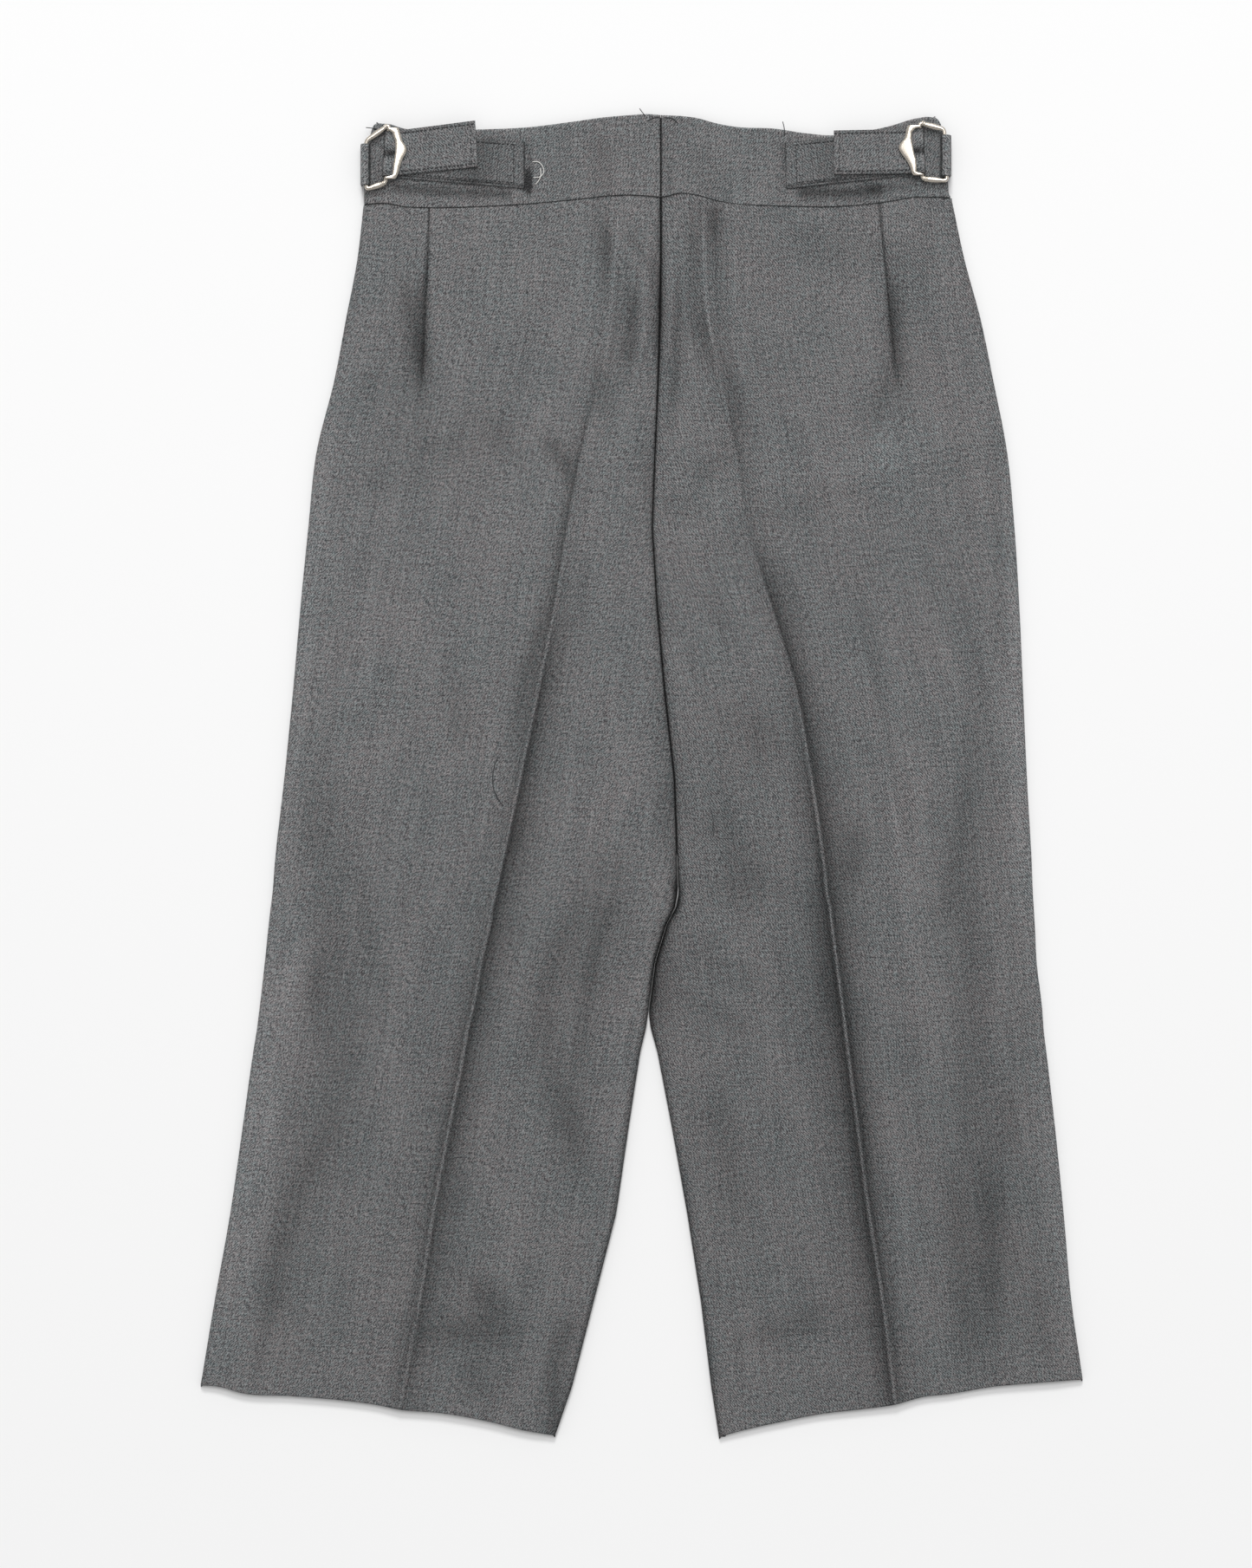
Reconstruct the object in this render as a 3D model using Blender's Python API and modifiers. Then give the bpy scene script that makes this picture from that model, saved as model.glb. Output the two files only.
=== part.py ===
"""Dress trousers laid flat with the back up, in metres at real size.

X runs towards the wearer's right, Y towards the waist and Z up from the surface they lie on.
Lengths below are in millimetres. Each cloth piece is a grid of points that follows the tables
of sections, given its thickness by Solidify. The back panels roll round both edges of each leg
and meet the front panels at seams on the underside.
"""
import math

import bmesh
import bpy
import numpy as np

MM = 0.001

# Cloth and seams
CLOTH = 1.0
BAND_CLOTH = 1.8
STRAP_CLOTH = 1.0
SEAM_GAP = 0.3
WAIST_SEAM_GAP = 0.4
UNDER_WRAP = 2.2

# Height of the upper skin above the surface, at each kind of edge
SIDE_HEIGHT = 3.4
LEFT_INSEAM_HEIGHT = 3.8
RIGHT_INSEAM_HEIGHT = 3.2
CENTRE_HEIGHT = 3.5
BAND_HEIGHT = 4.4
BAND_FRONT_CLOTH = 1.6

# The panel's slow rise between its edges, and how far from an edge it is full
SWELL = 0.5
EDGE_FADE = 14.0
CREASE_HEIGHT = 1.4
CREASE_WIDTH = 4.0
CREASE_STEPS = (-6.5, -2.8, 0.0, 2.8, 6.5)
DART_DEPTH = 0.7
DART_WIDTH = 5.0
DART_END = 205.0

# Centre back seam: its turned-in edge, and where it gives way to the two inseams
SEAM_ROLL = 1.2
SEAM_TAIL = 0.4
CROTCH_START = -56.0
CROTCH_END = -74.0
FORK_START = -42.0
FORK_END = -58.0

# Nominal heights of the first and last row of a panel, and how far their curves reach
WAIST_ROW = 298.5
HEM_ROW = -330.0
WAIST_REACH = 70.0
HEM_REACH = 100.0
LONGEST_STEP = 26.0
ROLL_STEPS = 5

# Across the whole garment at one height: edges, darts and pressed creases
SECTION_COLUMNS = ("y", "left_outer", "left_dart", "left_crease", "left_inner",
                   "right_inner", "right_crease", "right_dart", "right_outer")
SECTIONS = (
    (-343.0, -233.5, -179.0, -128.0, -45.0, 40.0, 134.0, 182.5, 232.5),
    (-317.0, -229.0, -176.0, -123.5, -36.0, 36.0, 130.5, 180.0, 229.4),
    (-272.0, -221.5, -170.5, -115.0, -24.5, 30.5, 125.0, 176.0, 223.0),
    (-227.0, -213.5, -165.0, -108.0, -13.0, 23.5, 118.0, 171.5, 219.0),
    (-182.0, -207.0, -159.5, -99.5, -6.5, 15.5, 112.0, 167.0, 214.5),
    (-143.0, -201.5, -154.5, -92.0, -0.5, 8.0, 107.0, 163.5, 210.0),
    (-130.5, -199.5, -153.0, -90.0, 2.5, 4.5, 105.5, 162.5, 208.5),
    (-122.5, -198.5, -152.0, -88.0, 3.5, 3.5, 104.5, 161.5, 208.0),
    (-96.5, -195.5, -149.0, -83.0, 7.0, 7.0, 101.0, 159.0, 205.0),
    (-77.0, -193.5, -146.5, -78.0, 13.0, 13.0, 98.5, 157.0, 204.0),
    (-68.5, -192.5, -145.5, -76.5, 17.5, 17.5, 97.5, 156.5, 203.5),
    (-60.5, -191.5, -144.5, -74.5, 19.0, 19.0, 96.0, 155.5, 203.0),
    (-47.0, -190.5, -143.0, -71.5, 18.5, 18.5, 94.5, 154.5, 202.5),
    (-2.0, -185.5, -137.5, -63.0, 17.0, 17.0, 88.0, 150.0, 200.0),
    (43.0, -181.0, -132.5, -54.0, 12.0, 12.0, 80.0, 146.5, 198.0),
    (88.0, -177.0, -127.5, -45.5, 8.0, 8.0, 67.5, 143.0, 196.0),
    (128.5, -173.0, -122.5, -39.0, 5.5, 5.5, 55.0, 139.5, 193.5),
    (169.0, -168.5, -118.0, -31.5, 7.0, 7.0, 49.0, 135.5, 189.5),
    (205.0, -159.5, -114.0, -22.5, 8.5, 8.5, 41.0, 132.0, 182.5),
    (236.5, -153.5, -112.5, -16.0, 9.5, 9.5, 34.0, 129.0, 176.0),
    (268.0, -147.5, -111.0, -13.0, 10.0, 10.0, 33.0, 126.0, 167.5),
    (298.5, -144.0, -110.0, -11.0, 10.0, 10.0, 32.0, 123.0, 161.0),
)

# Strength of each pressed crease along the legs
CREASE_COLUMNS = ("y", "left", "right")
CREASES = (
    (-343.0, 0.5, 0.5),
    (-250.0, 0.7, 0.7),
    (-120.0, 0.8, 0.8),
    (0.0, 1.0, 0.9),
    (80.0, 0.9, 1.0),
    (180.0, 0.7, 0.6),
    (240.0, 0.3, 0.2),
    (298.5, 0.1, 0.1),
)

# Broad soft folds: each runs between two points, raised where its height is positive
FOLD_COLUMNS = ("x_start", "y_start", "x_end", "y_end", "height", "width")
FOLDS = (
    (39.0, 292.0, 40.0, 200.0, -0.7, 9.0),
    (26.0, 295.0, 26.0, 262.0, -0.5, 6.0),
    (-1.0, 272.0, 1.0, 206.0, -0.5, 9.0),
    (185.0, 170.0, 187.0, 82.0, -0.6, 6.0),
    (176.0, 175.0, 179.0, 90.0, 0.4, 8.0),
    (-112.0, 200.0, -104.0, 120.0, 0.5, 12.0),
    (-96.0, 60.0, -118.0, -120.0, -0.5, 16.0),
    (-20.0, 30.0, -46.0, -150.0, 0.4, 18.0),
    (-150.0, -40.0, -176.0, -240.0, 0.4, 14.0),
    (60.0, 40.0, 62.0, -90.0, -0.5, 16.0),
    (128.0, 90.0, 150.0, -110.0, 0.4, 18.0),
    (84.0, -170.0, 90.0, -300.0, 0.4, 16.0),
    (160.0, -160.0, 178.0, -300.0, -0.4, 14.0),
)

# The waist seam and the top edge of the waistband
WAIST_COLUMNS = ("x", "seam", "top")
WAIST = (
    (-145.5, 295.5, 325.0),
    (-139.5, 296.5, 335.0),
    (-132.0, 296.7, 338.0),
    (-122.5, 295.0, 335.5),
    (-110.5, 294.5, 334.5),
    (-85.0, 295.0, 335.0),
    (-58.5, 296.5, 336.2),
    (-36.0, 298.5, 339.0),
    (-18.0, 300.5, 341.5),
    (-6.0, 301.0, 342.5),
    (4.0, 300.5, 343.0),
    (10.0, 300.0, 342.5),
    (20.5, 302.0, 342.0),
    (28.5, 301.0, 341.0),
    (37.5, 298.5, 338.5),
    (48.0, 296.5, 336.5),
    (68.5, 295.5, 335.5),
    (85.5, 295.0, 333.0),
    (99.0, 295.0, 332.0),
    (114.5, 296.0, 334.0),
    (127.0, 297.5, 336.5),
    (143.0, 300.0, 341.0),
    (149.0, 300.0, 341.5),
    (153.5, 300.0, 339.5),
    (160.5, 299.5, 326.0),
)
CENTRE_BACK = 10.0

# The side edges of the waistband, from its seam (0) to its top (1)
BAND_SIDE_COLUMNS = ("share", "left", "right")
BAND_SIDES = (
    (0.0, -143.9, 160.2),
    (0.08, -143.9, 159.2),
    (0.3, -144.0, 159.0),
    (0.7, -144.0, 159.0),
    (0.85, -141.2, 157.5),
    (0.95, -138.5, 155.0),
    (1.0, -135.0, 151.0),
)
BAND_EDGE_DROP = 0.6
BAND_SHARES = (0.0, 0.04, 0.15, 0.4, 0.7, 0.85, 0.93, 0.975, 1.0)
FRONT_STEPS = 8

# The lower edges of the legs
HEM_COLUMNS = ("x", "y")
HEM_LEFT = (
    (-228.5, -316.0),
    (-217.5, -317.0),
    (-209.5, -319.5),
    (-181.5, -321.5),
    (-153.0, -324.0),
    (-138.0, -326.0),
    (-125.5, -328.5),
    (-102.5, -330.5),
    (-78.0, -335.0),
    (-60.0, -339.5),
    (-45.0, -342.0),
)
HEM_RIGHT = (
    (39.5, -343.0),
    (54.0, -339.0),
    (72.0, -335.0),
    (92.0, -331.0),
    (112.5, -328.5),
    (131.0, -326.0),
    (146.0, -322.0),
    (159.5, -320.5),
    (180.0, -317.0),
    (207.0, -314.5),
    (228.5, -313.0),
)

# How far the front's hem lies inside the back's
FRONT_SET_BACK = 1.0

# Adjusters. Each row gives the upper and lower corner of the strap at one place
WIRE = 1.6
STRAP_LIFT = BAND_HEIGHT + SEAM_GAP + STRAP_CLOTH / 2
WRAP_RADIUS = WIRE / 2 + SEAM_GAP + STRAP_CLOTH / 2
BAR_LIFT = STRAP_LIFT + WRAP_RADIUS
UPPER_LIFT = STRAP_LIFT + STRAP_CLOTH + SEAM_GAP
STRAP_COLUMNS = ("place", "x_upper", "y_upper", "x_lower", "y_lower")
STRAP_LEFT = (
    ("sewn end", -60.5, 328.2, -60.5, 304.1),
    ("bar", -130.7, 333.4, -132.5, 310.1),
    ("free end", -86.2, 339.2, -85.0, 315.1),
)
STRAP_RIGHT = (
    ("sewn end", 74.0, 327.9, 74.9, 304.1),
    ("bar", 143.8, 334.9, 145.1, 311.7),
    ("free end", 99.5, 334.0, 99.5, 311.1),
)
# How the returning strap comes down from the bar: distance from it, height over the lower layer
RETURN_COLUMNS = ("distance", "height")
RETURN = (
    (2.8, 2.25),
    (6.0, 1.7),
    (11.0, 1.35),
)

# Buckle frames: corners of the wire from the hinge bar's upper end, clockwise on the right side
FRAME_LEFT = ((-130.7, 336.8), (-142.6, 328.6), (-142.4, 303.6), (-132.6, 306.8))
FRAME_RIGHT = ((143.8, 337.8), (156.6, 334.6), (158.0, 307.9), (145.3, 308.9))
FRAME_CORNER = 1.8
CORNER_STEPS = 4

# Clamp plate: along the bar from its upper end, and the near and far edge measured from the bar
PLATE_COLUMNS = ("share", "near", "far")
PLATE = (
    (0.0, -0.8, 5.6),
    (0.045, -0.8, 6.0),
    (0.055, 2.4, 6.1),
    (0.2, 3.4, 6.9),
    (0.33, 4.0, 8.2),
    (0.43, 4.3, 10.2),
    (0.5, 4.4, 10.8),
    (0.57, 4.3, 10.2),
    (0.67, 4.0, 8.2),
    (0.8, 3.4, 6.9),
    (0.945, 2.4, 6.1),
    (0.955, -0.8, 6.0),
    (1.0, -0.8, 5.6),
)
PLATE_THICK = 0.8
PLATE_LIFT = 9.2
PLATE_FALL = 0.1
PLATE_LEFT_BAR = ((-130.8, 335.0), (-132.5, 308.5))
PLATE_RIGHT_BAR = ((143.9, 336.3), (145.2, 310.4))

# Strap loops: the inner fold, the outer side and the ends along the waistband's side
LOOP_LEFT = {"fold": -140.4, "side": -145.1, "upper": 327.0, "lower": 305.6}
LOOP_RIGHT = {"fold": 154.6, "side": 159.9, "upper": 331.6, "lower": 310.4}
LOOP_FOOT = 1.6

WOOL_COLOUR = (0.15, 0.156, 0.16, 1.0)
NICKEL_COLOUR = (0.62, 0.6, 0.56, 1.0)


def column(table, names, name):
    """One column of a table as an array."""
    return np.array([row[names.index(name)] for row in table], dtype=float)


def named(table, names):
    """The rows of a table, each as a dictionary by column name."""
    return [dict(zip(names, row)) for row in table]


def smooth(share):
    """Rises from 0 to 1 with level ends."""
    share = np.clip(share, 0.0, 1.0)
    return share * share * (3.0 - 2.0 * share)


def curve(at, where, values):
    """Cubic through the values, its slope at each one taken from its neighbours."""
    slopes = np.gradient(values, where)
    i = int(np.clip(np.searchsorted(where, at) - 1, 0, len(where) - 2))
    span = where[i + 1] - where[i]
    t = float(np.clip((at - where[i]) / span, 0.0, 1.0))
    start = values[i] * (1 + 2 * t) * (1 - t) ** 2 + slopes[i] * span * t * (1 - t) ** 2
    end = values[i + 1] * t * t * (3 - 2 * t) + slopes[i + 1] * span * t * t * (t - 1)
    return start + end


def section(name, y):
    """Where an edge, dart or crease lies across the garment at height y."""
    heights = column(SECTIONS, SECTION_COLUMNS, "y")
    places = column(SECTIONS, SECTION_COLUMNS, name)
    if name.endswith("inner"):
        return float(np.interp(y, heights, places))
    return curve(y, heights, places)


def waist_seam(x):
    """Height of the seam between panels and waistband."""
    return float(np.interp(x, column(WAIST, WAIST_COLUMNS, "x"),
                           column(WAIST, WAIST_COLUMNS, "seam")))


def waist_top(x):
    """Height of the waistband's top edge."""
    return float(np.interp(x, column(WAIST, WAIST_COLUMNS, "x"),
                           column(WAIST, WAIST_COLUMNS, "top")))


def hem(side, x):
    """Height of a leg's lower edge."""
    table = HEM_LEFT if side == "left" else HEM_RIGHT
    return float(np.interp(x, column(table, HEM_COLUMNS, "x"), column(table, HEM_COLUMNS, "y")))


def bowed(side, x, nominal, set_back=0.0):
    """A row's height at x: the first and last rows follow the seam and the hem."""
    at_waist = smooth((nominal - (WAIST_ROW - WAIST_REACH)) / WAIST_REACH)
    at_hem = smooth((HEM_ROW + HEM_REACH - nominal) / HEM_REACH)
    waist_shift = waist_seam(x) - WAIST_SEAM_GAP / 2 - WAIST_ROW
    hem_shift = hem(side, x) + set_back - HEM_ROW
    return nominal + at_waist * waist_shift + at_hem * hem_shift


def panel_rows():
    """Nominal heights of a panel's rows from hem to waist, with long steps halved."""
    heights = column(SECTIONS, SECTION_COLUMNS, "y")
    rows = [HEM_ROW]
    for height in heights[1:]:
        if height - rows[-1] > LONGEST_STEP:
            rows.append((height + rows[-1]) / 2)
        rows.append(height)
    return rows


def inward(side):
    """Direction from the outer edge towards the centre."""
    return 1.0 if side == "left" else -1.0


def leg_share(y):
    """0 where the panel ends at the centre back seam, 1 where it rolls round the leg."""
    return float(smooth((CROTCH_START - y) / (CROTCH_START - CROTCH_END)))


def fork_share(y):
    """0 where the front panels meet, 1 where the leg's inner edge comes between them."""
    return float(smooth((FORK_START - y) / (FORK_START - FORK_END)))


def inner_height(side, y):
    """Height of the upper skin at the inner edge."""
    inseam = LEFT_INSEAM_HEIGHT if side == "left" else RIGHT_INSEAM_HEIGHT
    share = leg_share(y)
    return CENTRE_HEIGHT * (1 - share) + inseam * share


def leg_roll(height):
    """Offsets inwards and heights from the underside round a half circle to the top."""
    radius = height / 2
    points = [(radius + UNDER_WRAP, 0.0)]
    for step in range(ROLL_STEPS + 1):
        angle = math.pi * (step / ROLL_STEPS - 0.5)
        points.append((radius * (1 - math.cos(angle)), radius * (1 + math.sin(angle))))
    return np.array(points)


def seam_roll(height):
    """Offsets and heights of an edge turned in at a seam, a quarter circle and a short tail."""
    points = [(0.0, height - SEAM_ROLL - SEAM_TAIL)]
    for step in range(ROLL_STEPS + 1):
        angle = math.pi / 2 * step / ROLL_STEPS
        points.append((SEAM_ROLL * (1 - math.cos(angle)),
                       height - SEAM_ROLL * (1 - math.sin(angle))))
    return np.array(points)


def crease_places(side, y, outer_top, inner_top):
    """Where the panel's columns lie: even steps between its lines, closer beside the crease."""
    turn = inward(side)
    dart = section(side + "_dart", y)
    crease = section(side + "_crease", y)
    beside = crease + turn * np.array(CREASE_STEPS)
    return np.concatenate([
        np.linspace(outer_top, dart, 6)[:-1],
        np.linspace(dart, beside[0], 6)[:-1],
        beside,
        np.linspace(beside[-1], inner_top, 6)[1:],
    ])


def folds(x, y):
    """Sum of the soft folds at a point: each fades with the distance from its line."""
    total = 0.0
    for fold in named(FOLDS, FOLD_COLUMNS):
        run_x = fold["x_end"] - fold["x_start"]
        run_y = fold["y_end"] - fold["y_start"]
        length = math.hypot(run_x, run_y)
        off_x = x - fold["x_start"]
        off_y = y - fold["y_start"]
        along = (off_x * run_x + off_y * run_y) / length
        across = (off_x * run_y - off_y * run_x) / length / fold["width"]
        beyond = max(0.0, -along, along - length) / (2 * fold["width"])
        total += fold["height"] * math.exp(-across ** 2 - beyond ** 2)
    return total


def panel_height(side, x, y, outer_top, inner_top):
    """Upper skin of a back panel: its edges' heights, a swell, the crease, the dart, the folds."""
    share = (x - outer_top) / (inner_top - outer_top)
    base = SIDE_HEIGHT * (1 - share) + inner_height(side, y) * share
    edge = min(abs(x - outer_top), abs(x - inner_top))
    fade = float(smooth(edge / EDGE_FADE))
    strength = np.interp(y, column(CREASES, CREASE_COLUMNS, "y"),
                         column(CREASES, CREASE_COLUMNS, side))
    crease_off = (x - section(side + "_crease", y)) / CREASE_WIDTH
    crease = strength * CREASE_HEIGHT * math.exp(-abs(crease_off) ** 1.5)
    dart_off = (x - section(side + "_dart", y)) / DART_WIDTH
    dart = DART_DEPTH * float(smooth((y - DART_END) / 30.0)) * math.exp(-dart_off ** 2)
    return base + fade * (SWELL + folds(x, y) - dart) + min(fade * 2, 1.0) * crease


def edge_at(side, name, nominal):
    """Where a row meets the outer or inner edge: its place across and its height."""
    y = bowed(side, section(side + name, nominal), nominal)
    return section(side + name, y), y


def inner_roll_at(side, nominal):
    """The inner edge's profile: a seam above the crotch, a rolled leg below it."""
    share = leg_share(nominal)
    height = inner_height(side, nominal)
    return share * leg_roll(height) + (1 - share) * seam_roll(height)


def top_edges(side, nominal):
    """Where the rolls of both edges reach the upper skin."""
    turn = inward(side)
    outer_top = edge_at(side, "_outer", nominal)[0] + turn * leg_roll(SIDE_HEIGHT)[-1][0]
    inner = edge_at(side, "_inner", nominal)[0] - turn * SEAM_GAP / 2
    return outer_top, inner - turn * inner_roll_at(side, nominal)[-1][0]


def panel_points(side):
    """Points of a back panel's upper skin, rows from hem to waist and columns from left to right."""
    turn = inward(side)
    outer_roll = leg_roll(SIDE_HEIGHT)
    rows = []
    for nominal in panel_rows():
        outer, outer_y = edge_at(side, "_outer", nominal)
        inner, inner_y = edge_at(side, "_inner", nominal)
        inner -= turn * SEAM_GAP / 2
        inner_roll = inner_roll_at(side, nominal)
        outer_top, inner_top = top_edges(side, nominal)
        row = [(outer + turn * off, outer_y, z) for off, z in outer_roll[:-1]]
        for x in crease_places(side, nominal, outer_top, inner_top):
            y = bowed(side, x, nominal)
            row.append((x, y, panel_height(side, x, y, outer_top, inner_top)))
        row += [(inner - turn * off, inner_y, z) for off, z in inner_roll[-2::-1]]
        rows.append(row if side == "left" else row[::-1])
    return np.array(rows)


def front_points(side):
    """Points of a front panel's upper side, inside the rolled edges of the back panel."""
    turn = inward(side)
    outer_inset = SIDE_HEIGHT / 2 + UNDER_WRAP + SEAM_GAP
    rows = []
    for nominal in panel_rows():
        inner_inset = inner_height(side, nominal) / 2 + UNDER_WRAP + SEAM_GAP
        outer = edge_at(side, "_outer", nominal)[0] + turn * outer_inset
        inner = edge_at(side, "_inner", nominal)[0]
        inner -= turn * (SEAM_GAP / 2 + fork_share(nominal) * inner_inset)
        row = []
        for x in np.linspace(outer, inner, FRONT_STEPS):
            row.append((x, bowed(side, x, nominal, FRONT_SET_BACK), CLOTH))
        rows.append(row if side == "left" else row[::-1])
    return np.array(rows)


def band_side(side, share):
    """Outer edge of the waistband at a share of its depth."""
    return float(np.interp(share, column(BAND_SIDES, BAND_SIDE_COLUMNS, "share"),
                           column(BAND_SIDES, BAND_SIDE_COLUMNS, side)))


def band_point(x, share, z):
    """A point of the waistband at x, a share of the way from its seam to its top edge."""
    low = waist_seam(x) + WAIST_SEAM_GAP / 2
    return (x, low + (waist_top(x) - low) * share, z)


def band_points(side):
    """Upper skin of a back waistband: rolled round the side, lower along its long edges."""
    turn = inward(side)
    inner = CENTRE_BACK - turn * SEAM_GAP / 2
    panel_outer, panel_inner = top_edges(side, WAIST_ROW)
    places = turn * crease_places(side, WAIST_ROW, panel_outer, panel_inner)
    dart = section(side + "_dart", WAIST_ROW)
    rows = []
    for share in BAND_SHARES:
        low = BAND_EDGE_DROP * (share in (0.0, 1.0))
        outer = band_side(side, share)
        roll = leg_roll(BAND_HEIGHT - low)
        outer_top = outer + turn * roll[-1][0]
        row = [band_point(outer + turn * off, share, z) for off, z in roll[:-1]]
        spread = np.interp(places, turn * np.array([panel_outer, dart, panel_inner]),
                           [outer_top, dart, inner - turn])
        for x in spread:
            row.append(band_point(x, share, BAND_HEIGHT - low))
        row.append(band_point(inner, share, BAND_HEIGHT - low - BAND_EDGE_DROP))
        rows.append(row if side == "left" else row[::-1])
    return np.array(rows)


def band_front_points(side):
    """Upper side of a front waistband, inside the rolled end of the back one."""
    turn = inward(side)
    inset = BAND_HEIGHT / 2 + UNDER_WRAP + SEAM_GAP
    rows = []
    for share in BAND_SHARES[:-1]:
        outer = band_side(side, share) + turn * inset
        inner = CENTRE_BACK - turn * SEAM_GAP / 2
        row = []
        for x in np.linspace(outer, inner, FRONT_STEPS):
            row.append(band_point(x, share, BAND_FRONT_CLOTH))
        rows.append(row if side == "left" else row[::-1])
    return np.array(rows)


def strap_points(table, outward):
    """A strap's two long edges: along the waistband, round the hinge bar and back on top."""
    edges = {row["place"]: np.array([(row["x_upper"], row["y_upper"]),
                                     (row["x_lower"], row["y_lower"])])
             for row in named(table, STRAP_COLUMNS)}
    sewn, bar, free = edges["sewn end"], edges["bar"], edges["free end"]
    stations = []

    def add(edge, shift, z):
        stations.append([(x + outward * shift, y, z) for x, y in edge])

    for share in np.linspace(0.0, 1.0, 7)[:-1]:
        add(sewn + (bar - sewn) * share, 0.0, STRAP_LIFT)
    for angle in np.radians([-90.0, -54.0, -18.0, 18.0, 54.0, 90.0]):
        add(bar, WRAP_RADIUS * math.cos(angle), BAR_LIFT + WRAP_RADIUS * math.sin(angle))
    reach = abs(free[0][0] - bar[0][0])
    for row in named(RETURN, RETURN_COLUMNS):
        add(bar + (free - bar) * row["distance"] / reach, 0.0, STRAP_LIFT + row["height"])
    for share in np.linspace(0.4, 1.0, 4):
        add(bar + (free - bar) * share, 0.0, UPPER_LIFT)
    return np.array(stations)


def loop_points(loop, outward):
    """A strap loop: from the side of the waistband round the buckle's end bar and down again."""
    centre = loop["fold"] + outward * (WRAP_RADIUS + STRAP_CLOTH / 2)
    side = loop["side"]
    profile = [(centre + outward * 0.8, STRAP_LIFT)]
    for angle in np.radians([-90.0, -54.0, -18.0, 18.0, 54.0, 90.0]):
        profile.append((centre - outward * WRAP_RADIUS * math.cos(angle),
                        BAR_LIFT + WRAP_RADIUS * math.sin(angle)))
    reach = side - centre
    top = BAR_LIFT + WRAP_RADIUS
    for angle in np.radians([60.0, 35.0, 12.0]):
        profile.append((centre + reach * math.cos(angle),
                        BAR_LIFT - 1.0 + (top - BAR_LIFT + 1.0) * math.sin(angle)))
    profile.append((side, BAND_HEIGHT / 2 + 1.0))
    profile.append((side, LOOP_FOOT))
    ends = (loop["upper"], loop["lower"])
    return np.array([[(x, y, z) for y in ends] for x, z in profile])


def plate_points(bar, outward):
    """Upper side of a clamp plate, lower towards its far edge where it bites on the strap."""
    start, end = np.array(bar)
    stations = []
    for row in named(PLATE, PLATE_COLUMNS):
        x, y = start + (end - start) * row["share"]
        distances = np.linspace(row["near"], row["far"], 3)
        stations.append([(x - outward * distance, y,
                          PLATE_LIFT - PLATE_FALL * max(distance, 0.0))
                         for distance in distances])
    return np.array(stations)


def remove_everything():
    """Empties the scene."""
    for thing in list(bpy.data.objects):
        bpy.data.objects.remove(thing, do_unlink=True)


def make_collection(name):
    """A collection for the pieces, linked to the scene."""
    group = bpy.data.collections.new(name)
    bpy.context.scene.collection.children.link(group)
    return group


def make_material(name, colour, roughness, metallic):
    """A plain finish."""
    finish = bpy.data.materials.new(name)
    finish.use_nodes = True
    shader = finish.node_tree.nodes["Principled BSDF"]
    shader.inputs["Base Color"].default_value = colour
    shader.inputs["Roughness"].default_value = roughness
    shader.inputs["Metallic"].default_value = metallic
    return finish


def sheet(name, points, thick, offset, finish, group):
    """A grid whose corners are moved to the points (rows, columns, xyz) and then thickened."""
    rows, columns = points.shape[:2]
    form = bmesh.new()
    bmesh.ops.create_grid(form, x_segments=columns - 1, y_segments=rows - 1, size=0.5)
    form.verts.ensure_lookup_table()
    for corner, place in zip(form.verts, points.reshape(-1, 3) * MM):
        corner.co = place
    mesh = bpy.data.meshes.new(name)
    form.to_mesh(mesh)
    form.free()
    mesh.shade_smooth()
    mesh.materials.append(finish)
    piece = bpy.data.objects.new(name, mesh)
    group.objects.link(piece)
    wall = piece.modifiers.new("wall", "SOLIDIFY")
    wall.thickness = thick * MM
    wall.offset = offset
    wall.use_even_offset = True
    return piece


def rounded_corners(corners):
    """The corners of a closed wire, each one turned into a short arc."""
    count = len(corners)
    path = []
    for i in range(count):
        here = np.array(corners[i])
        before = np.array(corners[i - 1])
        after = np.array(corners[(i + 1) % count])
        start = here + (before - here) / np.linalg.norm(before - here) * FRAME_CORNER
        end = here + (after - here) / np.linalg.norm(after - here) * FRAME_CORNER
        for step in range(CORNER_STEPS + 1):
            t = step / CORNER_STEPS
            path.append(start * (1 - t) ** 2 + here * 2 * t * (1 - t) + end * t * t)
    return path


def wire_frame(name, corners, finish, group):
    """A closed frame of round wire, level over the waistband."""
    path = rounded_corners(corners)
    wire = bpy.data.curves.new(name, "CURVE")
    wire.dimensions = "3D"
    wire.bevel_depth = WIRE / 2 * MM
    wire.bevel_resolution = 2
    wire.use_fill_caps = True
    line = wire.splines.new("POLY")
    line.points.add(len(path) - 1)
    for point, (x, y) in zip(line.points, path):
        point.co = (x * MM, y * MM, BAR_LIFT * MM, 1.0)
    line.use_cyclic_u = True
    wire.materials.append(finish)
    piece = bpy.data.objects.new(name, wire)
    group.objects.link(piece)
    return piece


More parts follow.
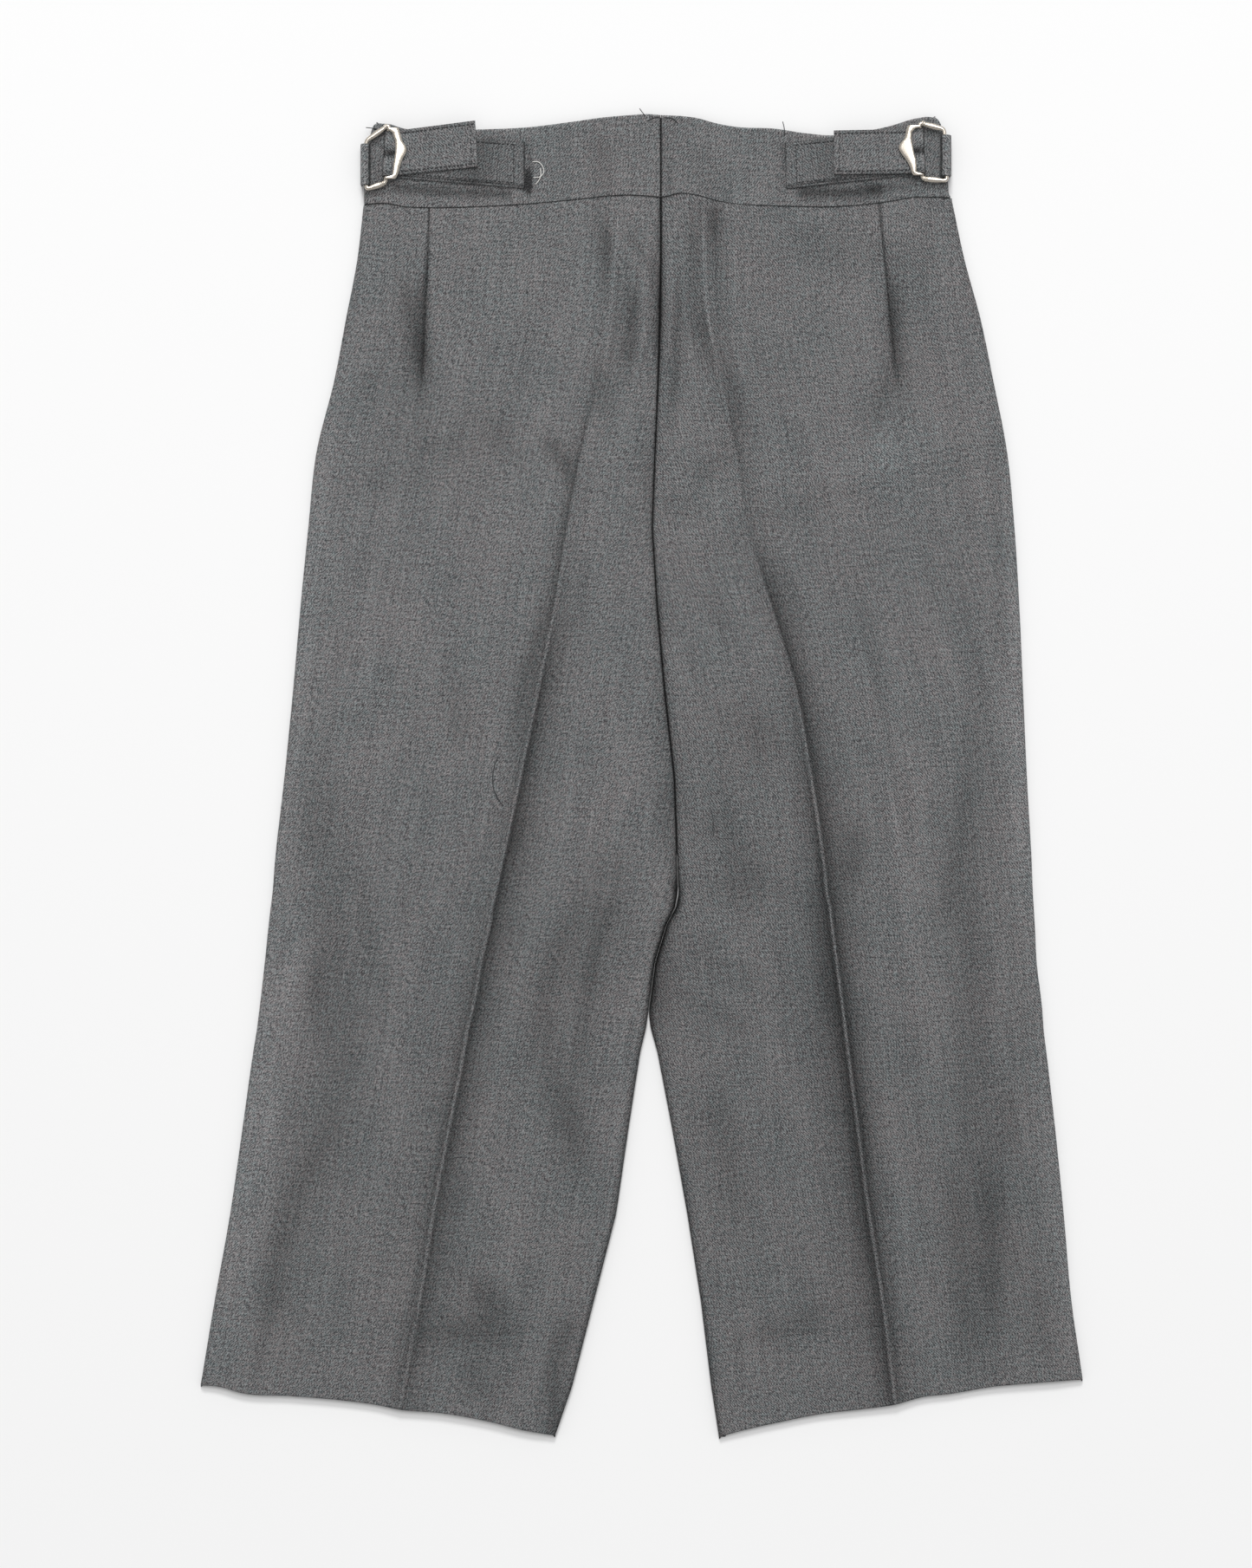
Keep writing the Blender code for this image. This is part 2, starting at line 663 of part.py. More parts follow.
def build():
    remove_everything()
    group = make_collection("dress_trousers")
    wool = make_material("wool_twill", WOOL_COLOUR, 0.85, 0.0)
    nickel = make_material("nickel", NICKEL_COLOUR, 0.25, 1.0)
    for side in ("left", "right"):
        sheet("back_" + side, panel_points(side), CLOTH, -1.0, wool, group)
        sheet("front_" + side, front_points(side), CLOTH, -1.0, wool, group)
        sheet("waistband_back_" + side, band_points(side), BAND_CLOTH, -1.0, wool, group)
        sheet("waistband_front_" + side, band_front_points(side), BAND_FRONT_CLOTH, -1.0,
              wool, group)
    sheet("strap_left", strap_points(STRAP_LEFT, -1.0), STRAP_CLOTH, 0.0, wool, group)
    sheet("strap_right", strap_points(STRAP_RIGHT, 1.0), STRAP_CLOTH, 0.0, wool, group)
    sheet("strap_loop_left", loop_points(LOOP_LEFT, -1.0), STRAP_CLOTH, 0.0, wool, group)
    sheet("strap_loop_right", loop_points(LOOP_RIGHT, 1.0), STRAP_CLOTH, 0.0, wool, group)
    wire_frame("buckle_frame_left", FRAME_LEFT, nickel, group)
    wire_frame("buckle_frame_right", FRAME_RIGHT, nickel, group)
    sheet("buckle_plate_left", plate_points(PLATE_LEFT_BAR, -1.0), PLATE_THICK, 0.0,
          nickel, group)
    sheet("buckle_plate_right", plate_points(PLATE_RIGHT_BAR, 1.0), PLATE_THICK, 0.0,
          nickel, group)


build()
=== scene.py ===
"""Looks of the dress trousers: wool twill laid flat with the back up, two waist adjusters, thread.

Tables and shapes are in millimetres in the frame's own axes and become metres in make_piece.
"""
import math

import bmesh
import bpy
import numpy as np
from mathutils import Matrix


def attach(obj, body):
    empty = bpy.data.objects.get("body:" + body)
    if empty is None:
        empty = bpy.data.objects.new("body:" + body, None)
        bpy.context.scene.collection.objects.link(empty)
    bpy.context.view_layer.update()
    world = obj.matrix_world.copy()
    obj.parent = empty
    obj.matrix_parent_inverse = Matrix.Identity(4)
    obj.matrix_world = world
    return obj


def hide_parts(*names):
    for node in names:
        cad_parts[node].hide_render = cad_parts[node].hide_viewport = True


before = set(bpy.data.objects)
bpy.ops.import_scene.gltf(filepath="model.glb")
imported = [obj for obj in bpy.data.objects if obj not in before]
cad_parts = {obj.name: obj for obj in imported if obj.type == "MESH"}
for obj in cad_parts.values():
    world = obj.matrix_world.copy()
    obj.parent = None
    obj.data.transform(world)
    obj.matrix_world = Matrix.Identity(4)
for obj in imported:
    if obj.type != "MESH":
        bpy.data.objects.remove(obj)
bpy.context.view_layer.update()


def columns(names, rows):
    """A table's columns by name, each as an array."""
    return dict(zip(names.split(), np.array(rows, dtype=float).T))


MM = 0.001

# The photo's frame: its longer side in pixels, the real size of one, where the camera stands
PHOTO_HEIGHT = 1809
PIXEL = 0.45
CAMERA_HEIGHT = 2000.0
FRAME_CENTRE = (-8.1, -4.2)

# Cloth and seams. Heights and rolled edges are the solids' own; the walls of the waistband and
# strap and some gaps are smaller here, so that the seams look closed
CLOTH = 1.0
BAND_CLOTH = 1.0
STRAP_CLOTH = 0.95
SEAM_GAP = 0.3
FRONT_GAP = 0.02
WAIST_SEAM_GAP = 0.08
UNDER_WRAP = 2.2
SIDE_HEIGHT = 3.4
INSEAM_HEIGHT = {"left": 3.8, "right": 3.2}
CENTRE_HEIGHT = 3.5
BAND_HEIGHT = 4.4
BAND_FRONT_CLOTH = 1.6
SWELL = 0.5
EDGE_FADE = 14.0
SEAM_ROLL = 1.2
SEAM_TAIL = 0.4
CROTCH_START = -56.0
CROTCH_END = -74.0
FORK_START = -42.0
FORK_END = -58.0
WAIST_ROW = 298.5
HEM_ROW = -330.0
WAIST_REACH = 70.0
HEM_REACH = 100.0
CENTRE_BACK = 10.0

HEM_ROLL = 1.0
HEM_TAIL = 0.5
FOLD_LIFT = 0.35
BAND_ROLL = 1.1
BAND_TAIL = 0.4
SEWN_ROLL = 0.35
SEWN_TAIL = 0.3
BAND_DEPTH = 40.0
SEAM_DITCH = 0.25
SEAM_DITCH_WIDTH = 0.9

# How finely the shells are worked out. The last tuples are distances in from an edge, in mm
HEM_ROWS = 44
BODY_ROWS = 190
BAND_ROWS = 44
BAND_STEPS = 110
ROLL_STEPS = 10
PANEL_COLUMNS = (20, 6, 7, 6, 22, 34, 24, 8)
FRONT_COLUMNS = (12, 14, 14)
FRONT_ROWS = 120
BAND_FRONT_ROWS = 30
BAND_FRONT_COLUMNS = (40,)
STRAP_EDGE = (0, 0.03, 0.12, 0.3, 0.5, 0.8, 1.05, 1.2, 1.35, 1.5, 1.65, 1.8, 1.95, 2.1, 2.5)
STRAP_END = (0, 0.05, 0.2, 0.45)
LOOP_EDGE = (0, 0.03, 0.12, 0.3, 0.5)
PLATE_EDGE = (0, 0.03, 0.1, 0.22, 0.4, 0.65, 0.9, 1.15)
WRAP_STEPS = 17
TOP_ROWS = (6.5, 5, 3.8, 2.8, 2, 1.4, 0.9, 0.5, 0.2, 0)
LINE_POINTS = 25
MARK_POINTS = 80
PLATE_ROWS = 140
STITCH_RINGS = 7
STITCH_SIDES = 6

# Worsted twill: the diagonal's spacing, and the noises of its yarns as (name, size across and
# along in mm, turned with the diagonal, detail) with how strongly each one shows. Real yarns are
# about 0.25 mm thick; their flecks are drawn twice as coarse, so that they show
TWILL = 1.0
TWILL_BEND = 2.2
WEAVE_DEPTH = 0.14
WOOL_LAYERS = (
    ("fleck", 0.5, 2.0, 1.0, 0.0),
    ("pepper", 0.55, 0.75, 0.0, 0.0),
    ("warp", 1.3, 40.0, 0.0, 2.0),
    ("slub", 22.0, 0.9, 0.0, 1.0),
    ("band", 15.0, 300.0, 0.0, 1.0),
    ("mottle", 34.0, 46.0, 0.0, 2.0),
    ("tint", 2.6, 2.0, 0.0, 2.0),
)
WOOL_STRENGTHS = (("fleck", 1.3), ("pepper", 1.7), ("warp", 0.5), ("slub", 0.45), ("band", 0.2),
                  ("mottle", 0.2))
# Cool and warm grey, each from its dark yarn to its pale one
WOOL_COLOURS = (("#3C3F41", "#899091"), ("#403D3F", "#949090"))
WARM_FROM = 0.48
WARM_TO = 0.88

# Painted shade along the sides, the legs' inner edges and the lower legs, darker towards the hem
SIDE_SHADE = 0.12
INSEAM_SHADE = 0.55
LEG_SHADE = 0.07
LEG_SHADE_FROM = 80
LEG_SHADE_OVER = 300
# Painted highlight along the waistband's top fold, and painted shade along its centre seam
BAND_RIM_HIGHLIGHT = 0.15
CENTRE_SHADE = 0.7

# The centre seam's dark line, painted shade in its hollow: its half width, wider at the crotch,
# where it fades out, and where the seat's cloth stands open beside it and it is paler
SEAM_SHADE = 0.8
SEAM_RIM = 0.6
FORK_RIM = 0.7
FORK_RIM_AT = -92
FORK_RIM_REACH = 22
SEAM_FADE_FROM = -128
SEAM_FADE_OVER = 20
SEAM_EASE = 0.35
SEAM_EASE_AT = 145
SEAM_EASE_REACH = 50

# Brightness of the white surroundings, low down and straight above, and how high (the sine of
# the angle) they change from one to the other
WALLS = 0.54
CEILING = 0.32
CEILING_FROM = 0.7
CEILING_TO = 0.97

# Sewing thread: its thickness, how its stitches rise and dip, and their lengths and pitches
THREAD = 0.45
STITCH_RISE = 0.32
STITCH_DIP = 0.2
STITCH_STRAY = 0.07
WAIST_STITCH = 1.5
WAIST_STITCH_PITCH = 2.2
WAIST_STITCH_HEIGHT = 4.0
WAIST_STITCH_UNEVEN = 0.6
MARK_UNEVEN = 0.35
STRAP_STITCH = 1.3
STRAP_STITCH_PITCH = 2.2
STRAP_STITCH_UNEVEN = 0.25
STRAP_THREAD = 0.6

# Where the edges, darts and creases lie across the garment
SECTIONS = columns(
    "y left_outer left_dart left_crease left_inner "
    "right_inner right_crease right_dart right_outer", (
        (-343, -233.5, -179, -128, -45, 40, 134, 182.5, 232.5),
        (-317, -229, -176, -123.5, -36, 36, 130.5, 180, 229.4),
        (-272, -221.5, -170.5, -115, -24.5, 30.5, 125, 176, 223),
        (-227, -213.5, -165, -108, -13, 23.5, 118, 171.5, 219),
        (-182, -207, -159.5, -99.5, -6.5, 15.5, 112, 167, 214.5),
        (-143, -201.5, -154.5, -92, -0.5, 8, 107, 163.5, 210),
        (-130.5, -199.5, -153, -90, 2.5, 4.5, 105.5, 162.5, 208.5),
        (-122.5, -198.5, -152, -88, 3.5, 3.5, 104.5, 161.5, 208),
        (-96.5, -195.5, -149, -83, 7, 7, 101, 159, 205),
        (-77, -193.5, -146.5, -78, 13, 13, 98.5, 157, 204),
        (-68.5, -192.5, -145.5, -76.5, 17.5, 17.5, 97.5, 156.5, 203.5),
        (-60.5, -191.5, -144.5, -74.5, 19, 19, 96, 155.5, 203),
        (-47, -190.5, -143, -71.5, 18.5, 18.5, 94.5, 154.5, 202.5),
        (-2, -185.5, -137.5, -63, 17, 17, 88, 150, 200),
        (43, -181, -132.5, -54, 12, 12, 80, 146.5, 198),
        (88, -177, -127.5, -45.5, 8, 8, 67.5, 143, 196),
        (128.5, -173, -122.5, -39, 5.5, 5.5, 55, 139.5, 193.5),
        (169, -168.5, -118, -31.5, 7, 7, 49, 135.5, 189.5),
        (205, -159.5, -114, -22.5, 8.5, 8.5, 41, 132, 182.5),
        (236.5, -153.5, -112.5, -16, 9.5, 9.5, 34, 129, 176),
        (268, -147.5, -111, -13, 10, 10, 33, 126, 167.5),
        (298.5, -144, -110, -11, 10, 10, 32, 123, 161),
    ))

# Painted shade: cloth that slopes away looks darker, most of all beside a pressed edge, and that
# darkness is painted into its colour. Each line's two sides: how dark the painted shade is beside
# it (0 to 1), and how far in mm that reaches
SHADES = "y west west_reach east east_reach"

# The pressed creases. The ridge lies "shift" from the crease's line; a step is positive where
# the cloth on the photo's right stands higher
# Each crease's west and east columns are the painted shade on either side of its ridge
CREASES = {
    "left": columns("y shift ridge step " + SHADES[2:], (
        (-343, 0, 0.6, 0, 0.2, 4, 0.3, 4),
        (-290, 0, 0.7, 0, 0.38, 5, 0.5, 6.5),
        (-230, 0, 0.9, 0, 0.42, 5, 0.58, 6.5),
        (-170, -0.3, 1.1, 0, 0.5, 4.6, 0.66, 6.6),
        (-110, 0, 1.3, 0, 0.5, 4.4, 0.72, 6.6),
        (-50, -1.6, 1.4, 0, 0.15, 6, 0.74, 7),
        (0, -0.2, 1.5, 0, 0.42, 2.5, 0.74, 6),
        (50, 0, 1.2, 0, 0.36, 7, 0.66, 5.5),
        (90, 0.7, 0.8, 0.4, 0.55, 3, 0.22, 9),
        (130, 0.9, 0.5, 0.9, 0.58, 2.6, 0.05, 5),
        (180, 0.9, 0.5, 0.8, 0.48, 1.4, 0.05, 3),
        (215, 1, 0.3, 0.3, 0.12, 3, 0.15, 4),
        (240, 0.5, 0.3, 0, 0.05, 3, 0.1, 5),
        (298.5, 0, 0.1, 0, 0, 3, 0, 3),
    )),
    "right": columns("y shift ridge step " + SHADES[2:], (
        (-343, 0, 0.6, 0, 0.5, 6, 0.4, 4),
        (-290, 0, 0.8, 0, 0.66, 7.4, 0.54, 5),
        (-230, 0, 1.1, 0, 0.66, 7.4, 0.66, 4.4),
        (-170, 0, 1.3, 0, 0.7, 8.2, 0.72, 5.2),
        (-110, 0, 1.4, 0, 0.76, 8.2, 0.74, 5.8),
        (-50, 0, 1.5, 0, 0.74, 4, 0.68, 7),
        (0, 0, 1.2, -0.2, 0.52, 5, 0.72, 6.8),
        (50, 0, 0.7, -0.7, 0.08, 6, 0.66, 5.5),
        (90, -0.8, 0.5, -0.9, 0.05, 6, 0.62, 5),
        (130, -0.8, 0.3, -0.6, 0.02, 4, 0.14, 4),
        (180, -0.8, 0.3, -0.6, 0.03, 4, 0.42, 5),
        (215, 0, 0.3, 0, 0.15, 3, 0.12, 4),
        (240, 0.6, 0.4, 0, 0.38, 2.5, 0.02, 4),
        (298.5, 0, 0.2, 0, 0.1, 3, 0, 3),
    )),
}
RIDGE_WIDTH = 1.1
RIDGE_SHARE = 0.35
TENT_REACH = 4.5
STEP_WIDTH = 0.8
STEP_REACH = 16

SHADED_LINES = {
    "left_crease": CREASES["left"],
    "right_crease": CREASES["right"],
    "left_dart": columns(SHADES, (
        (176, 0, 4, 0, 4), (195, 0.25, 4, 0.22, 4), (210, 0.58, 3.5, 0.52, 2),
        (225, 0.66, 4, 0.62, 1.7), (245, 0.62, 4.5, 0.62, 1.3), (265, 0.62, 0.5, 0.6, 0.4),
        (298.5, 0.5, 0.3, 0.5, 0.3),
    )),
    "right_dart": columns(SHADES, (
        (182, 0, 3, 0, 4), (196, 0.1, 2, 0.12, 4), (210, 0.45, 2.2, 0.5, 4.5),
        (225, 0.64, 1.4, 0.68, 4.2), (245, 0.62, 1.2, 0.6, 4.2), (265, 0.58, 0.4, 0.56, 0.9),
        (298.5, 0.5, 0.3, 0.5, 0.3),
    )),
    "left_inner": columns(SHADES, (
        (-150, 0, 1, 0, 6), (-118, 0.15, 1, 0.66, 7), (-98, 0.36, 1.6, 0.72, 4.6),
        (-88, 0.5, 2, 0.74, 3.2), (-72, 0.62, 2, 0.62, 1.8), (-60, 0.84, 1.6, 0.66, 1.4),
        (-30, 0.36, 3.5, 0.5, 1.6), (10, 0.36, 4, 0.6, 2.2), (50, 0.36, 3.5, 0.55, 1.6),
        (90, 0.3, 1.5, 0.45, 2), (130, 0.36, 3, 0.35, 0.8), (160, 0.34, 4, 0.4, 1.2),
        (185, 0.2, 1.5, 0.5, 1.2), (205, 0.35, 1.2, 0.5, 1.4), (225, 0.6, 2.6, 0.65, 1.3),
        (245, 0.72, 2.8, 0.7, 1.4), (265, 0.5, 1.8, 0.55, 1.2), (299, 0.45, 1.2, 0.45, 0.9),
    )),
}
# How the painted shade beside a line starts, its strength, its stretch and its limit; it is left
# off along a crease's ridge
SHADE_START = {"crease": 1, "dart": 0.25, "inner": 0.3}
SHADE_GAIN = 1.1
SHADE_STRETCH = 1.15
DARKEST = 0.9
PALE_RIDGE = 0.85

# Darts: where the stitched line ends, how deep it lies, and the dip round its end
DART_END = 205
DART_RISE = 12
DART_LINE = 0.55
DART_LINE_WIDTH = 0.45
DART_DIP = 1.1
DART_DIP_WIDTH = 5
DART_DIP_OFF = 3
DART_DIP_UP = 15
DART_DIP_LENGTH = 32

# Soft folds: height, width of the slope, darkness of their painted shade, then x and y of the
# points they run through. A trough has a negative height and painted shade, a ridge is the other
# way about and has painted light
FOLDS = (
    (-0.7, 5, 0.16, 39, 292, 39, 250, 41, 205),
    (-0.6, 3.2, 0.22, 24.5, 294, 26, 270, 28, 215),
    (0.4, 3, -0.06, 32, 290, 33.5, 240),
    (-0.5, 3.5, 0.18, -18.5, 286, -18, 268),
    (-0.5, 5, 0.14, -7, 262, -9, 235, -13, 204),
    (0.3, 3, -0.05, -12, 285, -13, 262),
    (-0.7, 4, 0.16, 184, 204, 185, 170, 187, 82, 187, 53),
    (0.4, 6, -0.04, 176, 175, 179, 90),
    (-0.5, 8, 0.15, -88, 194, -67, 168),
    (-0.4, 6, 0.15, -49, 176, -38, 156),
    (-0.8, 12, 0.2, 30, -14, 46, -34, 62, -60),
    (-0.8, 9, 0.26, -16, -40, -36, -70, -50, -118, -46, -162, -30, -206),
    (-0.6, 9, 0.32, -88, -262, -70, -284),
    (-0.6, 12, 0.16, -172, 20, -166, -58, -154, -122, -162, -205),
    (-0.7, 11, 0.18, 174, -10, 168, -80, 172, -162, 180, -217, 182, -292),
    (-0.4, 8, 0.2, 178, -200, 182, -240, 182, -290),
    (-0.5, 6, 0.24, -12, -50, -21, -80, -29, -120, -34, -170),
    (-0.3, 6, 0.18, -34, -170, -38, -205),
    (-0.5, 6, 0.34, -48, -318, -42, -296, -34, -278),
    (-0.3, 5, 0.36, -47, -345, -44, -312),
    (-0.2, 2.4, 0.85, 17.6, -54, 18.6, -62, 17.4, -71),
    (-0.3, 8, 0.1, -150, 150, -104, 152),
    (-0.3, 3, 0.24, 8, 268, 10, 240, 10, 216),
    (-0.3, 5, 0.2, -146, 204, -136, 204),
    (-0.5, 9, 0.3, -108, -290, -86, -287, -68, -294),
    (-0.4, 11, 0.22, -90, -300, -82, -326),
    (-0.4, 8, 0.26, -160, -176, -178, -215, -190, -255, -194, -300),
    (-0.4, 6, 0.18, -170, -98, -169, -130),
    (-0.4, 6, 0.16, -146, -50, -140, -90, -136, -118),
    (0.5, 9, -0.27, -158, 222, -172, 150, -186, 10, -197, -90, -206, -180, -226, -310),
    (0.4, 6.5, -0.28, 176, 225, 190, 160, 197, 60, 201, -30, 208, -140),
    (0.3, 6, -0.2, 208, -140, 218, -230, 226, -305),
    (-0.4, 7, 0.26, 160, -196, 164, -240, 170, -312),
    (-0.3, 5, 0.18, 190, -160, 192, -195),
    (-0.3, 5, 0.16, 205, -262, 209, -306),
    (-0.4, 8, 0.2, 38, -160, 45, -200, 49, -236),
    (-0.4, 7, 0.22, 114, -24, 108, -58),
    (-0.4, 6, 0.16, 88, -50, 94, -100, 99, -140),
    (-0.4, 9, 0.22, 62, 34, 63, 6),
    (-0.3, 12, 0.14, 44, 46, 46, -10),
    (-0.3, 10, 0.14, 26, -54, 52, -60, 72, -58),
    (-0.3, 5, 0.16, 26, -116, 42, -126, 58, -136),
    (-0.4, 6, 0.16, 174, 46, 172, 16, 164, -40, 150, -90),
    (-0.3, 7, 0.2, 52, -292, 74, -288, 100, -276),
    (-0.4, 5, 0.24, -126, 264, -119, 236, -111, 206),
    (-0.4, 4, 0.16, 134, 264, 130, 226),
    (-0.4, 5, 0.24, 126, 208, 121, 180),
    (-0.3, 3.5, 0.32, 38, 297, 37, 278),
    (-0.4, 3.5, 0.32, 20, 262, 18.5, 228, 15.5, 180),
    (-0.3, 4, 0.16, -16, 276, -16.5, 258),
    (-0.3, 8, 0.12, -118, 226, -116, 204),
    (-0.4, 3.2, 0.36, -3, 256, -5.5, 222, -8, 206),
    (-0.3, 4.5, 0.2, -23, 304, -20, 272, -18, 236),
    (-0.3, 3.2, 0.22, -8, 285, 2, 268, 9, 258),
    (-0.3, 3, 0.2, 31, 240, 34, 212),
    (-0.3, 3.5, 0.24, 44, 218, 48, 200, 52, 180),
    (-0.3, 6, 0.16, -22, 212, -18, 184),
    (-0.3, 7, 0.18, 28, 152, 42, 168),
    (-0.3, 8, 0.14, 8, 142, 28, 136),
    (-0.4, 3.5, 0.26, -50, 174, -42, 166, -36, 150),
    (-0.3, 11, 0.14, -126, 168, -76, 172),
    (-0.3, 3, 0.18, 7, 96, 10, 72),
    (-0.3, 5, 0.14, 32, 98, 46, 68),
    (-0.4, 3.6, 0.24, -50, 88, -60, 56, -68, 14),
    (-0.3, 8, 0.16, -94, 54, -96, 10),
    (-0.3, 5, 0.16, -58, -18, -67, -42),
    (-0.3, 5, 0.14, 62, 118, 78, 84),
    (-0.3, 6, 0.14, 12, 0, 12, -32),
    (0.2, 2.6, -0.12, 112, 60, 126, 10, 135, -50, 140, -110),
    (0.3, 10, -0.12, 112, 158, 150, 170),
    (0.3, 6, -0.14, -38, -54, -45, -80),
    (0.2, 5, -0.12, 4, 112, 6, 96),
    (0.2, 0.9, -0.26, -12.6, 290, -15.5, 254, -18.8, 215),
    (0.2, 0.9, -0.42, 31.6, 288, 32.6, 245, 37.5, 222),
    (0.5, 14, -0.05, 34, 122, 66, 150, 112, 166, 170, 182),
    (-0.4, 9, 0.1, 24, 110, 58, 132, 112, 148, 176, 166),
    (-0.4, 10, 0.1, 68, 278, 104, 270, 138, 268),
    (0.4, 12, -0.04, -150, 130, -140, 60, -146, -20),
    (0.4, 14, -0.04, 130, 90, 140, -20, 150, -130),
    (0.4, 10, -0.03, -80, -200, -66, -250),
    (-0.3, 12, 0.14, -12, -58, -24, -92, -36, -122),
    (-0.3, 7, 0.14, 34, 301, 36, 262),
    (0.3, 8, -0.2, -172, -50, -186, -130, -197, -205, -215, -318),
    (0.3, 6, -0.12, 186, 95, 190, 20, 194, -70),
    (0.2, 5, -0.12, 131, -190, 136, -240, 141, -292),
    (0.2, 9, -0.1, 106, 152, 150, 158),
    (-0.3, 7, 0.14, 108, -120, 113, -200, 117, -280),
    (-0.2, 5, 0.12, 60, 112, 76, 70, 84, 10),
    (-0.2, 4, 0.12, 112, 110, 126, 20, 138, -40),
    (-0.4, 10, 0.12, 24, -82, 40, -100, 66, -112),
)
FOLD_FADE = 0.25
FOLD_END = 0.35

# Painted shade on the waistband: shadows below and beside the straps and under the knot of thread,
# and darker patches towards the middle: width, darkness, then x and y of their points
BAND_SHADES = (
    (2.2, 0.6, -59, 312.5, -58.6, 303),
    (3, 0.48, -126, 304.5, -96, 302.5, -70, 301.5),
    (4, 0.6, 84, 302.5, 106, 302, 122, 303.5),
    (2.6, 0.3, 120, 304, 138, 306),
    (1.8, 0.25, -59, 303, -58.5, 318, -58.5, 327),
    (1.6, 0.2, 73, 304, 72.5, 327),
    (7, 0.18, -20, 306, -22, 326),
    (6, 0.12, 30, 322, 34, 306),
    (3.5, 0.15, 12, 336, 13, 304),
)

WAIST = columns("x seam top", (
    (-145.5, 295.5, 325), (-139.5, 296.5, 336.2), (-132, 296.7, 338), (-122.5, 295, 335.5),
    (-110.5, 294.5, 334.5), (-85, 295, 335), (-58.5, 296.5, 336.2), (-36, 298.5, 339),
    (-18, 300.5, 341.5), (-6, 301, 342.5), (4, 300.5, 343), (10, 300, 342.5), (20.5, 302, 342),
    (28.5, 301, 341), (37.5, 298.5, 338.5), (48, 296.5, 336.5), (68.5, 295.5, 335.5),
    (85.5, 295, 333), (99, 295, 332), (114.5, 296, 334), (127, 297.5, 336.5), (143, 300, 341),
    (149, 300, 341.5), (153.5, 300, 339.5), (160.5, 299.5, 326),
))
BAND_SIDES = columns("share left right", (
    (0, -143.9, 160.2), (0.08, -143.9, 159.2), (0.3, -144, 159), (0.7, -144, 159),
    (0.85, -141.2, 157), (0.95, -139.8, 155.2), (0.985, -139, 154), (1, -137.6, 152.4),
))

HEMS = {
    "left": columns("x y", (
        (-228.5, -316), (-217.5, -317), (-209.5, -319.5), (-181.5, -321.5), (-153, -324),
        (-138, -326), (-125.5, -328.5), (-102.5, -330.5), (-78, -335), (-60, -339.5), (-45, -342),
    )),
    "right": columns("x y", (
        (39.5, -343), (54, -339), (72, -335), (92, -331), (112.5, -328.5), (131, -326),
        (146, -322), (159.5, -320.5), (180, -317), (207, -314.5), (228.5, -313),
    )),
}
FRONT_SET_BACK = 1

# The hidden front panels: where across them their crease is pressed, and its height
FRONT_CREASE = 0.5
FRONT_RIDGE = 0.4
FRONT_WAVE = 0.8

# Adjusters: the frame's wire, half of the solids' strap cloth, and where the strap lies
WIRE = 1.6
STRAP_HALF = 0.5
STRAP_LIFT = BAND_HEIGHT + SEAM_GAP + STRAP_HALF
WRAP_RADIUS = WIRE / 2 + SEAM_GAP + STRAP_HALF
BAR_LIFT = STRAP_LIFT + WRAP_RADIUS
# Each strap's upper and lower corner (x, y, x, y) at three places along it
STRAPS = {
    "left": {
        "sewn end": (-60.5, 328.2, -60.5, 304.1),
        "bar": (-130.7, 333.4, -132.5, 310.1),
        "free end": (-86.2, 339.2, -85, 315.1),
    },
    "right": {
        "sewn end": (74, 327.9, 74.9, 304.1),
        "bar": (143.8, 334.9, 145.1, 311.7),
        "free end": (99.5, 334, 99.5, 311.1),
    },
}
RETURN = columns("distance height", (
    (0, 3.2), (2.8, 2.25), (6, 1.7), (11, 1.35), (16, 1.3),
))
FRAMES = {
    "left": ((-130.7, 336.8), (-142.6, 328.6), (-142.4, 303.6), (-132.6, 306.8)),
    "right": ((143.8, 337.8), (156.6, 334.6), (158, 307.9), (145.3, 308.9)),
}
FRAME_CORNER = 1.8
WIRE_HALF_WIDTH = 0.9
ARM_SPREAD = 0.6
ARM_REACH = 4.8
SLEEVE = 2
SLEEVE_OFF = 1.9
STRAP_WIDTH = 23.5
EDGE_STITCH = 1.8
STITCH_GROOVE = 0.14
PLY_SET_IN = 1.3
PLY_STEP = 0.85

# Painted shade on a strap: the shadow on the left and right one under its free end, then on its
# lower and upper run the shade along the edges and beside the set-in ply
STRAP_SHADE = (0.46, 0.32)
STRAP_LINE = (0.42, 0.3)
STRAP_STEP = (0.38, 0.2)
STRAP_SHADE_REACH = 14

# A strap's turn round the bar: its ring, the crease's place across, and two lumps beside it as
# (place across, width); the painted shade of its crease, the crease's sides, its edges and its
# outside, and the painted highlight on its lumps
STRAP_TURN = 80
WRAP_SPREAD = 7
WRAP_CREASE = 0.5
WRAP_PINCH = 0.8
WRAP_LUMPS = ((0.27, 0.13), (0.77, 0.12))
WRAP_DARK = {"crease": 0.8, "beside": 0.45, "edges": 0.4, "outside": 0.6}
WRAP_LUMP_HIGHLIGHT = 0.16
